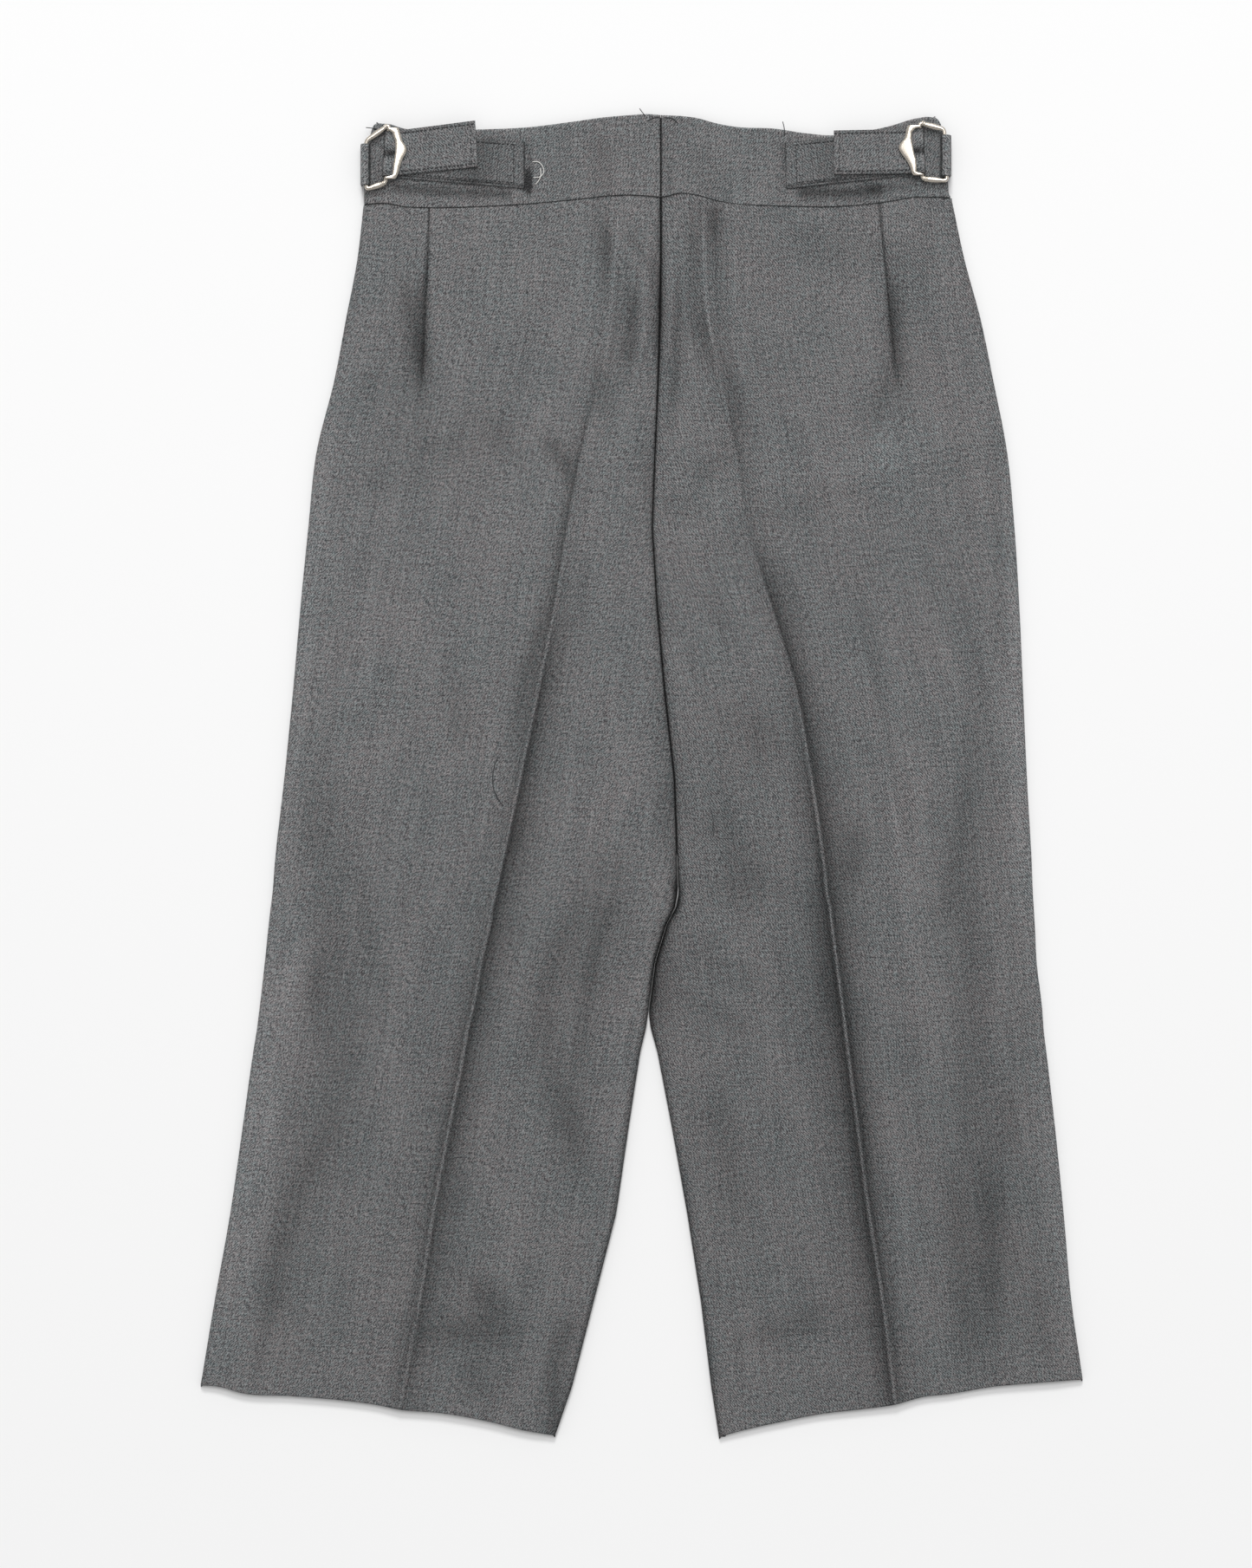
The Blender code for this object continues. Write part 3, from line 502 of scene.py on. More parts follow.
# The loop's foot, its painted shade at the fold round the end bar, and the painted light past it
LOOP_FOOT = 1.6
LOOP_DARK = 0.75
LOOP_PAINTED_LIGHT = 0.2
PLATE_DOME = 0.16
PLATE_EASE = 1.1
PLATE_FALL = 0.1
PLATES = {
    "left": columns("share near far", (
        (0, -0.6, 5), (0.03, -0.6, 5.3), (0.1, 2, 6.1), (0.26, 3.7, 7.7), (0.36, 4, 9.5),
        (0.42, 4.1, 10), (0.48, 4.1, 9.8), (0.6, 3.9, 8.3), (0.75, 3.5, 7.2), (0.92, 3.2, 6.2),
        (0.97, -0.6, 5.6), (1, -0.6, 4.9),
    )),
    "right": columns("share near far", (
        (0, -0.6, 6), (0.03, -0.6, 6.5), (0.07, 2.6, 7), (0.14, 4.3, 7.5), (0.26, 4.6, 8.5),
        (0.37, 4.4, 10.8), (0.44, 4.1, 11.5), (0.56, 3.7, 10.3), (0.68, 2.9, 8.2),
        (0.84, 2.7, 6.2), (0.93, 3, 5.6), (0.97, -0.6, 5.2), (1, -0.6, 4.6),
    )),
}
PLATE_THICK = 0.8
PLATE_LIFT = 9.2
PLATE_BARS = {
    "left": ((-130.8, 335), (-132.5, 308.5)),
    "right": ((143.9, 336.3), (145.2, 310.4)),
}
LOOPS = {
    "left": {"fold": -140.4, "side": -145.1, "upper": 327, "lower": 305.6},
    "right": {"fold": 154.6, "side": 159.9, "upper": 331.6, "lower": 310.4},
}

# The hem allowance's stitching shows through as lines of small dents
PUCKER_COLUMNS = ("x_start", "y_start", "x_end", "y_end", "depth", "pitch")
PUCKERS = (
    (-121.7, -287.4, -113.2, -291.9, 0.35, 4),
    (-113.2, -291.9, -66.8, -288.8, 0.3, 4.6),
    (70.4, -290.6, 126.2, -284.7, 0.35, 3.6),
    (72.7, -277.1, 124, -273.5, 0.22, 4.2),
)
PUCKER_WIDTH = 1.3
PUCKER_RIM = 0.4
PUCKER_RIM_AT = 3.5

# Stitches that show on the cloth: pitch, length, then x and y of the points they run through
STITCHED_LINES = (
    (1.1, 1, -116.6, -277.6, -117.3, -284.2),
    (4.6, 0.9, -120.5, -288, -113.2, -291.6, -92, -290.4),
    (4.6, 0.9, -90, -290.3, -66.8, -288.8),
    (2.4, 1.2, 70.4, -290.6, 98, -287.8, 126.2, -284.7),
    (4.2, 0.8, 72.7, -277.1, 98, -275.5, 124, -273.5),
)

# Loose ends of thread, each as x and y of the points along it
LOOSE_THREADS = (
    (74, 331.6, 73.9, 335.4, 73.1, 339),
    (2, 341.7, 0.2, 343.9, -1.1, 345.7),
    (2.8, 339.2, 5.6, 340.6, 9.2, 341.2),
    (12, 341, 16.2, 340.4, 18.9, 338),
    (-137.4, 335.2, -140.6, 335.6, -142.9, 335.8),
    (-74.5, 10, -76.3, 5.1, -77.2, -1.7, -76.3, -8, -74, -12.5, -71.8, -15.6),
    (-59.9, 314, -57.4, 311.4, -60.4, 308.6, -57, 306.4, -59.6, 303),
    (-58.3, 313.4, -60.8, 310, -57, 308.6, -60.4, 306, -57.6, 302.2),
    (-60.6, 311, -56.6, 310.2, -60.6, 307.8, -56.8, 307.6, -60.2, 304.8),
    (-57, 312.2, -59.6, 309.2, -56.4, 305, -60.8, 305.2, -61.6, 302.6),
    (-59.8, 251.2, -59.2, 250.6, -59.7, 250.1),
    (37.2, -23.7, 37, -27.3, 37.2, -30.9),
)
PALE_THREADS = (
    (-56.6, 318.1, -53.5, 317.9, -51.4, 315.8, -50.7, 312.7, -52, 310.6, -56.3, 309.8),
    (-52.5, 314.8, -52.2, 311.6, -53.5, 308, -55.1, 306.3),
)


def points_at(*parts):
    """Points from their coordinates, spread to one shape."""
    return np.stack(np.broadcast_arrays(*parts), axis=-1)


def run_along(path):
    """Distance run along a path at each of its points."""
    return np.concatenate([[0.0], np.cumsum(np.linalg.norm(np.diff(path, axis=0), axis=1))])


def west_first(side, points):
    """The columns of a grid from the photo's left to its right."""
    return points if side == "left" else points[:, ::-1]


def smooth(share):
    """Rises from 0 to 1 with level ends."""
    share = np.clip(share, 0.0, 1.0)
    return share * share * (3.0 - 2.0 * share)


def bell(off):
    """A soft hump: one at nothing, falling as the exponential of the square."""
    return np.exp(-np.square(off))


def curve(at, where, values):
    """Cubic through the values, its slope at each one taken from its neighbours."""
    slopes = np.gradient(values, where)
    at = np.asarray(at, dtype=float)
    i = np.clip(np.searchsorted(where, at) - 1, 0, len(where) - 2)
    span = where[i + 1] - where[i]
    t = np.clip((at - where[i]) / span, 0.0, 1.0)
    start = values[i] * (1 + 2 * t) * (1 - t) ** 2 + slopes[i] * span * t * (1 - t) ** 2
    end = values[i + 1] * t * t * (3 - 2 * t) + slopes[i + 1] * span * t * t * (t - 1)
    return start + end


def read(table, name, at, key="y"):
    """A table's column between its rows, by straight lines over the key column."""
    return np.interp(at, table[key], table[name])


def section(name, y):
    """Where an edge, dart or crease lies across the garment at height y."""
    if name.endswith("inner"):
        return read(SECTIONS, name, y)
    return curve(y, SECTIONS["y"], SECTIONS[name])


def waist_seam(x):
    """Height of the seam between panels and waistband, a cubic through its table."""
    return curve(x, WAIST["x"], WAIST["seam"])


def waist_top(x):
    """Height of the waistband's top edge, a cubic through its table."""
    return curve(x, WAIST["x"], WAIST["top"])


def hem(side, x):
    """Height of a leg's lower edge."""
    return curve(x, HEMS[side]["x"], HEMS[side]["y"])


def bowed(side, x, nominal, set_back=0.0):
    """A row's height at x: the first and last rows follow the seam and the hem."""
    at_waist = smooth((nominal - (WAIST_ROW - WAIST_REACH)) / WAIST_REACH)
    at_hem = smooth((HEM_ROW + HEM_REACH - nominal) / HEM_REACH)
    waist_shift = waist_seam(x) - WAIST_SEAM_GAP / 2 - WAIST_ROW
    hem_shift = hem(side, x) + set_back - HEM_ROW
    return nominal + at_waist * waist_shift + at_hem * hem_shift


def inward(side):
    """Direction from the outer edge towards the centre."""
    return 1.0 if side == "left" else -1.0


def leg_share(y):
    """0 where the panel ends at the centre back seam, 1 where it rolls round the leg."""
    return smooth((CROTCH_START - y) / (CROTCH_START - CROTCH_END))


def fork_share(y):
    """0 where the front panels meet, 1 where the leg's inner edge comes between them."""
    return smooth((FORK_START - y) / (FORK_START - FORK_END))


def inner_height(side, y):
    """Height of the upper skin at the inner edge."""
    return CENTRE_HEIGHT + (INSEAM_HEIGHT[side] - CENTRE_HEIGHT) * leg_share(y)


def leg_roll(height, drop):
    """Offsets inwards and heights for each row: a half circle from the underside to the top.
    Rows that turn in at an edge are lower on top and a little higher underneath."""
    low = FOLD_LIFT * np.asarray(drop, dtype=float)[..., None]
    radius = (np.asarray(height, dtype=float)[..., None] - low) / 2
    angle = math.pi * (np.linspace(0.0, 1.0, ROLL_STEPS + 1) - 0.5)
    off = np.concatenate([radius + UNDER_WRAP, radius * (1 - np.cos(angle))], axis=-1)
    up = np.concatenate([low, low + radius * (1 + np.sin(angle))], axis=-1)
    return off, up


def seam_roll(height, radius=SEAM_ROLL, tail=SEAM_TAIL):
    """Offsets and heights for each row: a quarter circle turned in at a seam, and a short tail."""
    height = np.asarray(height, dtype=float)[..., None]
    angle = math.pi / 2 * np.linspace(0.0, 1.0, ROLL_STEPS + 1)
    off = np.concatenate([0 * height, radius * (1 - np.cos(angle)) + 0 * height], axis=-1)
    up = np.concatenate([height - radius - tail, height - radius * (1 - np.sin(angle))], axis=-1)
    return off, up


def edge_at(side, name, nominal):
    """Where each row meets the outer or inner edge: its place across and its height."""
    y = bowed(side, section(side + name, nominal), nominal)
    return section(side + name, y), y


def inner_roll_at(side, nominal, drop):
    """The inner edge's profile: a seam above the crotch, a rolled leg below it."""
    share = leg_share(nominal)[:, None]
    height = inner_height(side, nominal) - drop
    leg = leg_roll(height, drop)
    seam = seam_roll(height)
    return tuple(share * a + (1 - share) * b for a, b in zip(leg, seam))


def soft(x, y):
    """Slow unevenness of pressed cloth: a sum of long crossing waves, about 0.2 mm high."""
    total = 0.10 * np.sin(x / 17.0 + 1.3 * np.sin(y / 61.0) + 0.4)
    total += 0.08 * np.sin(y / 29.0 + 1.1 * np.sin(x / 37.0) + 2.0)
    total += 0.05 * np.sin((x + 0.6 * y) / 12.0 + 1.0 + 0.8 * np.sin(y / 43.0))
    total += 0.04 * np.sin((0.9 * x - 0.5 * y) / 8.5 + 2.2 * np.sin(x / 53.0))
    return total


def beside(x, y, points):
    """Distance from a line through points, by its nearest stretch, and the share run of it."""
    points = np.reshape(np.array(points, dtype=float), (-1, 2))
    runs = np.diff(points, axis=0)
    lengths = np.linalg.norm(runs, axis=1)
    starts = run_along(points)[:-1]
    nearest = np.full(np.shape(x), np.inf)
    share = np.zeros(np.shape(x))
    for (start_x, start_y), run, length, start in zip(points[:-1], runs, lengths, starts):
        along = ((x - start_x) * run[0] + (y - start_y) * run[1]) / length ** 2
        along = np.clip(along, 0.0, 1.0)
        distance = np.hypot(x - start_x - along * run[0], y - start_y - along * run[1])
        share = np.where(distance < nearest, (start + along * length) / lengths.sum(), share)
        nearest = np.minimum(distance, nearest)
    return nearest, share


def folds(x, y, name):
    """Sum of the soft folds' heights or their painted shade and light: a bell across each, weaker
    at its ends.
    """
    total = 0.0
    for height, width, dark, *points in FOLDS:
        distance, share = beside(x, y, points)
        fade = FOLD_END + (1 - FOLD_END) * smooth(np.minimum(share, 1 - share) / FOLD_FADE)
        amount = height if name == "height" else dark
        total = total + amount * bell(distance / width) * fade
    return total


def crease_off(side, x, y):
    """Distance across from a pressed crease's ridge, positive towards the photo's right."""
    return x - section(side + "_crease", y) - read(CREASES[side], "shift", y)


def crease_relief(side, x, y):
    """A pressed crease: a tent with a sharp ridge, and a step that fades away from it."""
    off = crease_off(side, x, y)
    ridge = read(CREASES[side], "ridge", y)
    step = read(CREASES[side], "step", y)
    relief = ridge * RIDGE_SHARE * np.exp(-np.abs(off / RIDGE_WIDTH) ** 1.3)
    relief += ridge * (1 - RIDGE_SHARE) * np.exp(-np.abs(off) / TENT_REACH)
    high = np.where(step > 0, off, -off)
    relief += np.abs(step) * smooth(high / STEP_WIDTH + 0.5) * np.exp(-np.abs(off) / STEP_REACH)
    return relief


def dart_relief(side, x, y):
    """A dart: a narrow stitched groove, and a dip that widens where the dart runs out."""
    off = x - section(side + "_dart", y)
    stitched = smooth((y - DART_END) / DART_RISE)
    groove = DART_LINE * stitched * np.exp(-np.abs(off / DART_LINE_WIDTH) ** 1.5)
    dip = DART_DIP * bell((off + inward(side) * DART_DIP_OFF) / DART_DIP_WIDTH)
    return -groove - dip * bell((y - DART_END - DART_DIP_UP) / DART_DIP_LENGTH)


def puckers(x, y):
    """Lines of small dents where the hem is caught down: a bell across, waves along."""
    total = 0.0
    for row in PUCKERS:
        pucker = dict(zip(PUCKER_COLUMNS, row))
        run_x = pucker["x_end"] - pucker["x_start"]
        run_y = pucker["y_end"] - pucker["y_start"]
        length = math.hypot(run_x, run_y)
        off_x = x - pucker["x_start"]
        off_y = y - pucker["y_start"]
        along = (off_x * run_x + off_y * run_y) / length
        across = (off_x * run_y - off_y * run_x) / length
        deep = pucker["depth"] * bell(np.maximum(0.0, np.maximum(-along, along - length)) / 2.0)
        dent = 0.6 + 0.4 * np.sin(2 * math.pi * along / pucker["pitch"] + np.sin(along / 7.0))
        total = total - deep * dent * bell(across / PUCKER_WIDTH)
        total = total + PUCKER_RIM * deep * bell((np.abs(across) - PUCKER_RIM_AT) / 2.0)
    return total


def panel_height(side, x, y, outer_top, inner_top):
    """Upper skin of a back panel: between its edges' heights, plus swell, crease, dart, folds."""
    share = (x - outer_top) / (inner_top - outer_top)
    base = SIDE_HEIGHT * (1 - share) + inner_height(side, y) * share
    edge = np.minimum(np.abs(x - outer_top), np.abs(x - inner_top))
    fade = smooth(edge / EDGE_FADE)
    near = np.minimum(fade * 2, 1.0)
    relief = fade * (SWELL + folds(x, y, "height") + soft(x, y) + puckers(x, y))
    ditch = SEAM_DITCH * np.exp(-np.abs((waist_seam(x) - y) / SEAM_DITCH_WIDTH) ** 1.2)
    pressed = crease_relief(side, x, y) + dart_relief(side, x, y)
    return base + relief + near * pressed - ditch


def shaded(name, off, y):
    """Painted shade beside a line: from each side's value, falling off exponentially."""
    west, west_reach, east, east_reach = (read(SHADED_LINES[name], part, y)
                                          for part in SHADES.split()[1:])
    past = np.maximum(np.abs(off) - SHADE_START[name.split("_")[1]], 0.0) / SHADE_STRETCH
    dark = np.where(off < 0, west * np.exp(-past / west_reach), east * np.exp(-past / east_reach))
    return np.minimum(SHADE_GAIN * dark, DARKEST)


def together(*darks):
    """Painted shades laid over each other: the shares of light that they leave are multiplied."""
    light = 1.0
    for dark in darks:
        light = light * (1 - dark)
    return 1 - light


def panel_dark(side, x, y):
    """Painted shade of a panel: beside its crease, dart and centre seam, in its folds and sides,
    along the legs' inner edges and towards the hem; some folds paint light instead.
    """
    off = crease_off(side, x, y)
    from_seam = x - section("left_inner", y)
    rim = SEAM_RIM + FORK_RIM * bell((y - FORK_RIM_AT) / FORK_RIM_REACH)
    seam = SEAM_SHADE * smooth((y - SEAM_FADE_FROM) / SEAM_FADE_OVER)
    seam = seam * (1 - SEAM_EASE * bell((y - SEAM_EASE_AT) / SEAM_EASE_REACH))
    return together(
        shaded(side + "_crease", off, y) * (1 - bell(off / PALE_RIDGE)),
        shaded(side + "_dart", x - section(side + "_dart", y), y),
        shaded("left_inner", from_seam, y),
        seam * bell(from_seam / rim),
        folds(x, y, "dark"),
        SIDE_SHADE * bell((x - section(side + "_outer", y)) / 2.0),
        INSEAM_SHADE * leg_share(y) * bell((x - section(side + "_inner", y)) / 2.4),
        LEG_SHADE * smooth((LEG_SHADE_FROM - y) / LEG_SHADE_OVER))


def band_dark(side, x, y):
    """Painted shade round the waistband's side, along its centre seam and by the straps, and a
    painted highlight along its top fold.
    """
    edge = waist_top(x) - y
    side_off = x - band_side(side, np.clip(1 - edge / BAND_DEPTH, 0.0, 1.0))
    return together(
        SIDE_SHADE * bell(side_off / 2.5) - BAND_RIM_HIGHLIGHT * bell(edge / 1.1),
        CENTRE_SHADE * bell((x - CENTRE_BACK) / 0.6),
        *(dark * bell(beside(x, y, points)[0] / width) for width, dark, *points in BAND_SHADES))


def spaced(start, end, count):
    """Even steps from one line towards the next for every row, without the last one."""
    return start[:, None] + (end - start)[:, None] * np.arange(count) / count


def between(lines, counts):
    """Places for the columns of every row: evenly from each line to the next, the last one too."""
    parts = [spaced(*run) for run in zip(lines[:-1], lines[1:], counts)]
    return np.concatenate(parts + [lines[-1][:, None]], axis=1)


def panel_places(side, nominal, outer_top, inner_top):
    """Where the columns lie: even between the lines, closer beside the dart and the crease."""
    turn = inward(side)
    dart = section(side + "_dart", nominal)
    crease = section(side + "_crease", nominal)
    lines = [outer_top] + [dart + turn * off for off in (-4, -1, 1, 4)]
    lines += [crease - turn * 8, crease + turn * 8, inner_top - turn * 3, inner_top]
    return between(lines, PANEL_COLUMNS)


def panel_rows():
    """Rows of a back panel: nominal height, and how far each drops where the hem folds under."""
    off, up = seam_roll(np.array([0.0]), HEM_ROLL, HEM_TAIL)
    low = HEM_ROW + off[0]
    stitched = np.linspace(HEM_ROW + 2.2, HEM_ROW + 58, HEM_ROWS)
    body = np.linspace(HEM_ROW + 60.5, WAIST_ROW - 8, BODY_ROWS)
    nominal = np.concatenate([low, stitched, body, WAIST_ROW - np.array(TOP_ROWS)])
    return nominal, np.concatenate([-up[0], np.zeros(len(nominal) - len(low))])


def panel_points(side):
    """Upper skin of a back panel as rows from hem to waist and columns from left to right."""
    turn = inward(side)
    nominal, drop = panel_rows()
    outer, outer_y = edge_at(side, "_outer", nominal)
    inner, inner_y = edge_at(side, "_inner", nominal)
    inner = inner - turn * SEAM_GAP / 2
    outer_off, outer_up = leg_roll(SIDE_HEIGHT - drop, drop)
    inner_off, inner_up = inner_roll_at(side, nominal, drop)
    outer_top = outer + turn * outer_off[:, -1]
    inner_top = inner - turn * inner_off[:, -1]
    x = panel_places(side, nominal, outer_top, inner_top)
    y = bowed(side, x, nominal[:, None])
    z = panel_height(side, x, y, outer_top[:, None], inner_top[:, None]) - drop[:, None]
    outside = points_at(outer[:, None] + turn * outer_off[:, :-1], outer_y[:, None],
                        outer_up[:, :-1])
    inside = points_at(inner[:, None] - turn * inner_off[:, -2::-1], inner_y[:, None],
                       inner_up[:, -2::-1])
    return west_first(side, np.concatenate([outside, points_at(x, y, z), inside], axis=1))


def front_points(side):
    """Upper side of a front panel, with its crease and slight waves, inside the rolled edges."""
    turn = inward(side)
    nominal = np.linspace(HEM_ROW, WAIST_ROW, FRONT_ROWS)
    outer = edge_at(side, "_outer", nominal)[0]
    outer = outer + turn * (SIDE_HEIGHT / 2 + UNDER_WRAP + SEAM_GAP)
    inset = inner_height(side, nominal) / 2 + UNDER_WRAP + SEAM_GAP
    inner = edge_at(side, "_inner", nominal)[0]
    inner = inner - turn * (FRONT_GAP / 2 + fork_share(nominal) * inset)
    crease = outer + (inner - outer) * FRONT_CREASE
    x = between([outer, crease - turn * 6, crease + turn * 6, inner], FRONT_COLUMNS)
    y = bowed(side, x, nominal[:, None], FRONT_SET_BACK)
    edge = np.minimum(np.abs(x - outer[:, None]), np.abs(x - inner[:, None]))
    waves = FRONT_WAVE * (0.27 + soft(x + 31.0, y))
    pressed = FRONT_RIDGE * np.exp(-np.abs(x - crease[:, None]) / 2.5)
    z = CLOTH + smooth(edge / EDGE_FADE) * (waves + pressed)
    return west_first(side, points_at(x, y, z))


def hidden_dark(points):
    """Painted shade on the fronts: only along the centre line, where two edges meet and the gap
    between the back panels shows them.
    """
    x, y = points[..., 0], points[..., 1]
    return 0.9 * bell((x - section("left_inner", y)) / 1.2) * (1 - fork_share(y))


def linear(code):
    """A colour written as sRGB hex, turned to linear light."""
    parts = [int(code[i:i + 2], 16) / 255 for i in (1, 3, 5)]
    return tuple(p / 12.92 if p <= 0.04045 else ((p + 0.055) / 1.055) ** 2.4
                 for p in parts) + (1.0,)


def add(tree, kind, settings=None, **links):
    """Adds a node: settings are its properties or sockets, links are sockets fed by others."""
    node = tree.nodes.new(kind)
    for name, value in (settings or {}).items():
        if isinstance(name, int) or name in node.inputs:
            node.inputs[name].default_value = value
        else:
            setattr(node, name, value)
    for name, source in links.items():
        socket = node.inputs[int(name[1:])] if name[0] == "_" else node.inputs[name]
        tree.links.new(source, socket)
    return node


def placed(name, data):
    """A new object at the origin, in the scene."""
    item = bpy.data.objects.new(name, data)
    bpy.context.scene.collection.objects.link(item)
    return item


def make_piece(name, points, faces, finish, grain=None, dark=None):
    """A mesh from points in mm and blocks of faces, with its cloth map and its painted shade and
    light.
    """
    loops = np.concatenate([block.ravel() for block in faces]).astype(np.int32)
    sizes = np.concatenate([np.full(len(block), block.shape[1]) for block in faces])
    starts = np.concatenate([[0], np.cumsum(sizes)[:-1]]).astype(np.int32)
    mesh = bpy.data.meshes.new(name)
    mesh.vertices.add(len(points))
    mesh.vertices.foreach_set("co", (points * MM).astype(np.float32).ravel())
    mesh.loops.add(len(loops))
    mesh.loops.foreach_set("vertex_index", loops)
    mesh.polygons.add(len(sizes))
    mesh.polygons.foreach_set("loop_start", starts)
    mesh.update(calc_edges=True)
    if grain is not None:
        uv = mesh.uv_layers.new(name="grain")
        uv.data.foreach_set("uv", (grain.reshape(-1, 2) * MM)[loops].astype(np.float32).ravel())
    if dark is not None:
        layer = mesh.attributes.new("dark", "FLOAT", "POINT")
        layer.data.foreach_set("value", dark.ravel().astype(np.float32))
    mesh.materials.append(finish)
    piece = placed(name, mesh)
    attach(piece, "root")
    return piece


def cloth_piece(name, points, finish, grain, dark, thick):
    """A grid of points (rows, columns) seen from above, thickened downwards."""
    rows, columns = points.shape[:2]
    index = np.arange(rows * columns).reshape(rows, columns)
    quads = np.stack([index[:-1, :-1], index[:-1, 1:], index[1:, 1:], index[1:, :-1]], axis=-1)
    piece = make_piece(name, points.reshape(-1, 3), [quads.reshape(-1, 4)], finish, grain, dark)
    piece.data.shade_smooth()
    wall = piece.modifiers.new("wall", "SOLIDIFY")
    wall.thickness = thick * MM
    wall.offset = -1.0
    return piece


def closed_piece(name, rings, finish, grain=None, dark=None, looped=False):
    """Closed forms (form, ring, place round the ring): joined in one mesh, ends capped."""
    forms, count, sides = rings.shape[:3]
    index = np.arange(forms * count * sides).reshape(forms, count, sides)
    along = np.roll(index, -1, axis=1) if looped else index[:, 1:]
    start = index if looped else index[:, :-1]
    quads = np.stack([start, np.roll(start, -1, axis=2), np.roll(along, -1, axis=2), along],
                     axis=-1).reshape(-1, 4)
    faces = [quads] if looped else [quads, index[:, 0, ::-1], index[:, -1]]
    piece = make_piece(name, rings.reshape(-1, 3), faces, finish, grain, dark)
    form = bmesh.new()
    form.from_mesh(piece.data)
    bmesh.ops.recalc_face_normals(form, faces=form.faces)
    form.to_mesh(piece.data)
    form.free()
    piece.data.shade_smooth()
    return piece


def tubes(paths, radius, sides, taper):
    """Round tubes: rings square to each path; the ends' radius is a share of the middle's."""
    run = np.gradient(paths, axis=1)
    run /= np.linalg.norm(run, axis=-1, keepdims=True)
    side = np.cross(run, (0.0, 0.0, 1.0))
    side /= np.maximum(np.linalg.norm(side, axis=-1, keepdims=True), 1e-6)
    up = np.cross(side, run)
    angle = 2 * math.pi * np.arange(sides)[:, None] / sides
    ring = np.cos(angle) * side[..., None, :] + np.sin(angle) * up[..., None, :]
    swell = np.ones(paths.shape[1])
    swell[[0, -1]] = taper
    return paths[..., None, :] + radius * swell[:, None, None] * ring


def along_path(path, count):
    """Even places along a line through the path's points, by arc length on a cubic."""
    path = np.reshape(np.array(path, dtype=float), (-1, 2))
    reach = run_along(path)
    at = np.linspace(0.0, reach[-1], count)
    return np.stack([curve(at, reach, path[:, i]) for i in range(2)], axis=-1)


def stitches(path, pitch, length, uneven, draw, thick=THREAD):
    """Short threads along a path: each rises over the cloth and dips into it at both ends."""
    reach = run_along(path)
    middles = np.arange(pitch / 2, reach[-1], pitch)
    middles = middles + draw.uniform(-uneven, uneven, len(middles)) * pitch / 2
    halves = length / 2 * draw.uniform(1 - uneven, 1 + uneven, len(middles))
    sweep = np.linspace(-1.0, 1.0, STITCH_RINGS)
    at = np.clip(middles[:, None] + halves[:, None] * sweep, 0.0, reach[-1])
    spine = np.stack([np.interp(at, reach, path[:, i]) for i in range(3)], axis=-1)
    spine[..., 2] += STITCH_RISE * np.cos(math.pi / 2 * sweep) - STITCH_DIP
    for i in range(2):
        spine[..., i] += draw.normal(0.0, STITCH_STRAY, len(middles))[:, None]
    return tubes(spine, thick / 2, STITCH_SIDES, 0.4)


def strip(upper, lower, across, height, thin):
    """A flat strip: its section carried along its two edge paths and turned with them."""
    run = np.gradient((upper + lower) / 2, axis=0)
    run /= np.linalg.norm(run, axis=-1, keepdims=True)
    width = lower - upper
    up = np.cross(run, width / np.linalg.norm(width, axis=-1, keepdims=True))
    up *= np.sign(up[0, 2])
    place = upper[:, None] + width[:, None] * across[:, None]
    return place + up[:, None] * (height * thin[:, None])[..., None]


def rounded(distance, radius):
    """Share of the half thickness near an edge: a quarter circle of the given radius."""
    return np.sqrt(1 - np.square(1 - np.clip(distance / radius, 0.0, 1.0)))


def band_relief(x, y):
    """Slight waves in the stiffened waistband, up to 0.15 mm."""
    return 0.08 * np.sin(x / 13 + 0.8 * np.sin(y / 9)) + 0.05 * np.sin(x / 5.3 + y / 11)


def band_edges(count):
    """Rows of the waistband: share of its depth, shift in mm, and how far each row drops."""
    low_off, low_up = seam_roll(np.array([0.0]), SEWN_ROLL, SEWN_TAIL)
    off, up = seam_roll(np.array([0.0]), BAND_ROLL, BAND_TAIL)
    share = np.concatenate([0 * low_off[0], np.linspace(0.05, 0.95, count), 0 * off[0] + 1])
    shift = np.concatenate([low_off[0], np.zeros(count), -off[0, ::-1]])
    return share, shift, np.concatenate([-low_up[0], np.zeros(count), -up[0, ::-1]])


def band_side(side, share):
    """Outer edge of the waistband at a share of its depth."""
    return read(BAND_SIDES, side, share, "share")


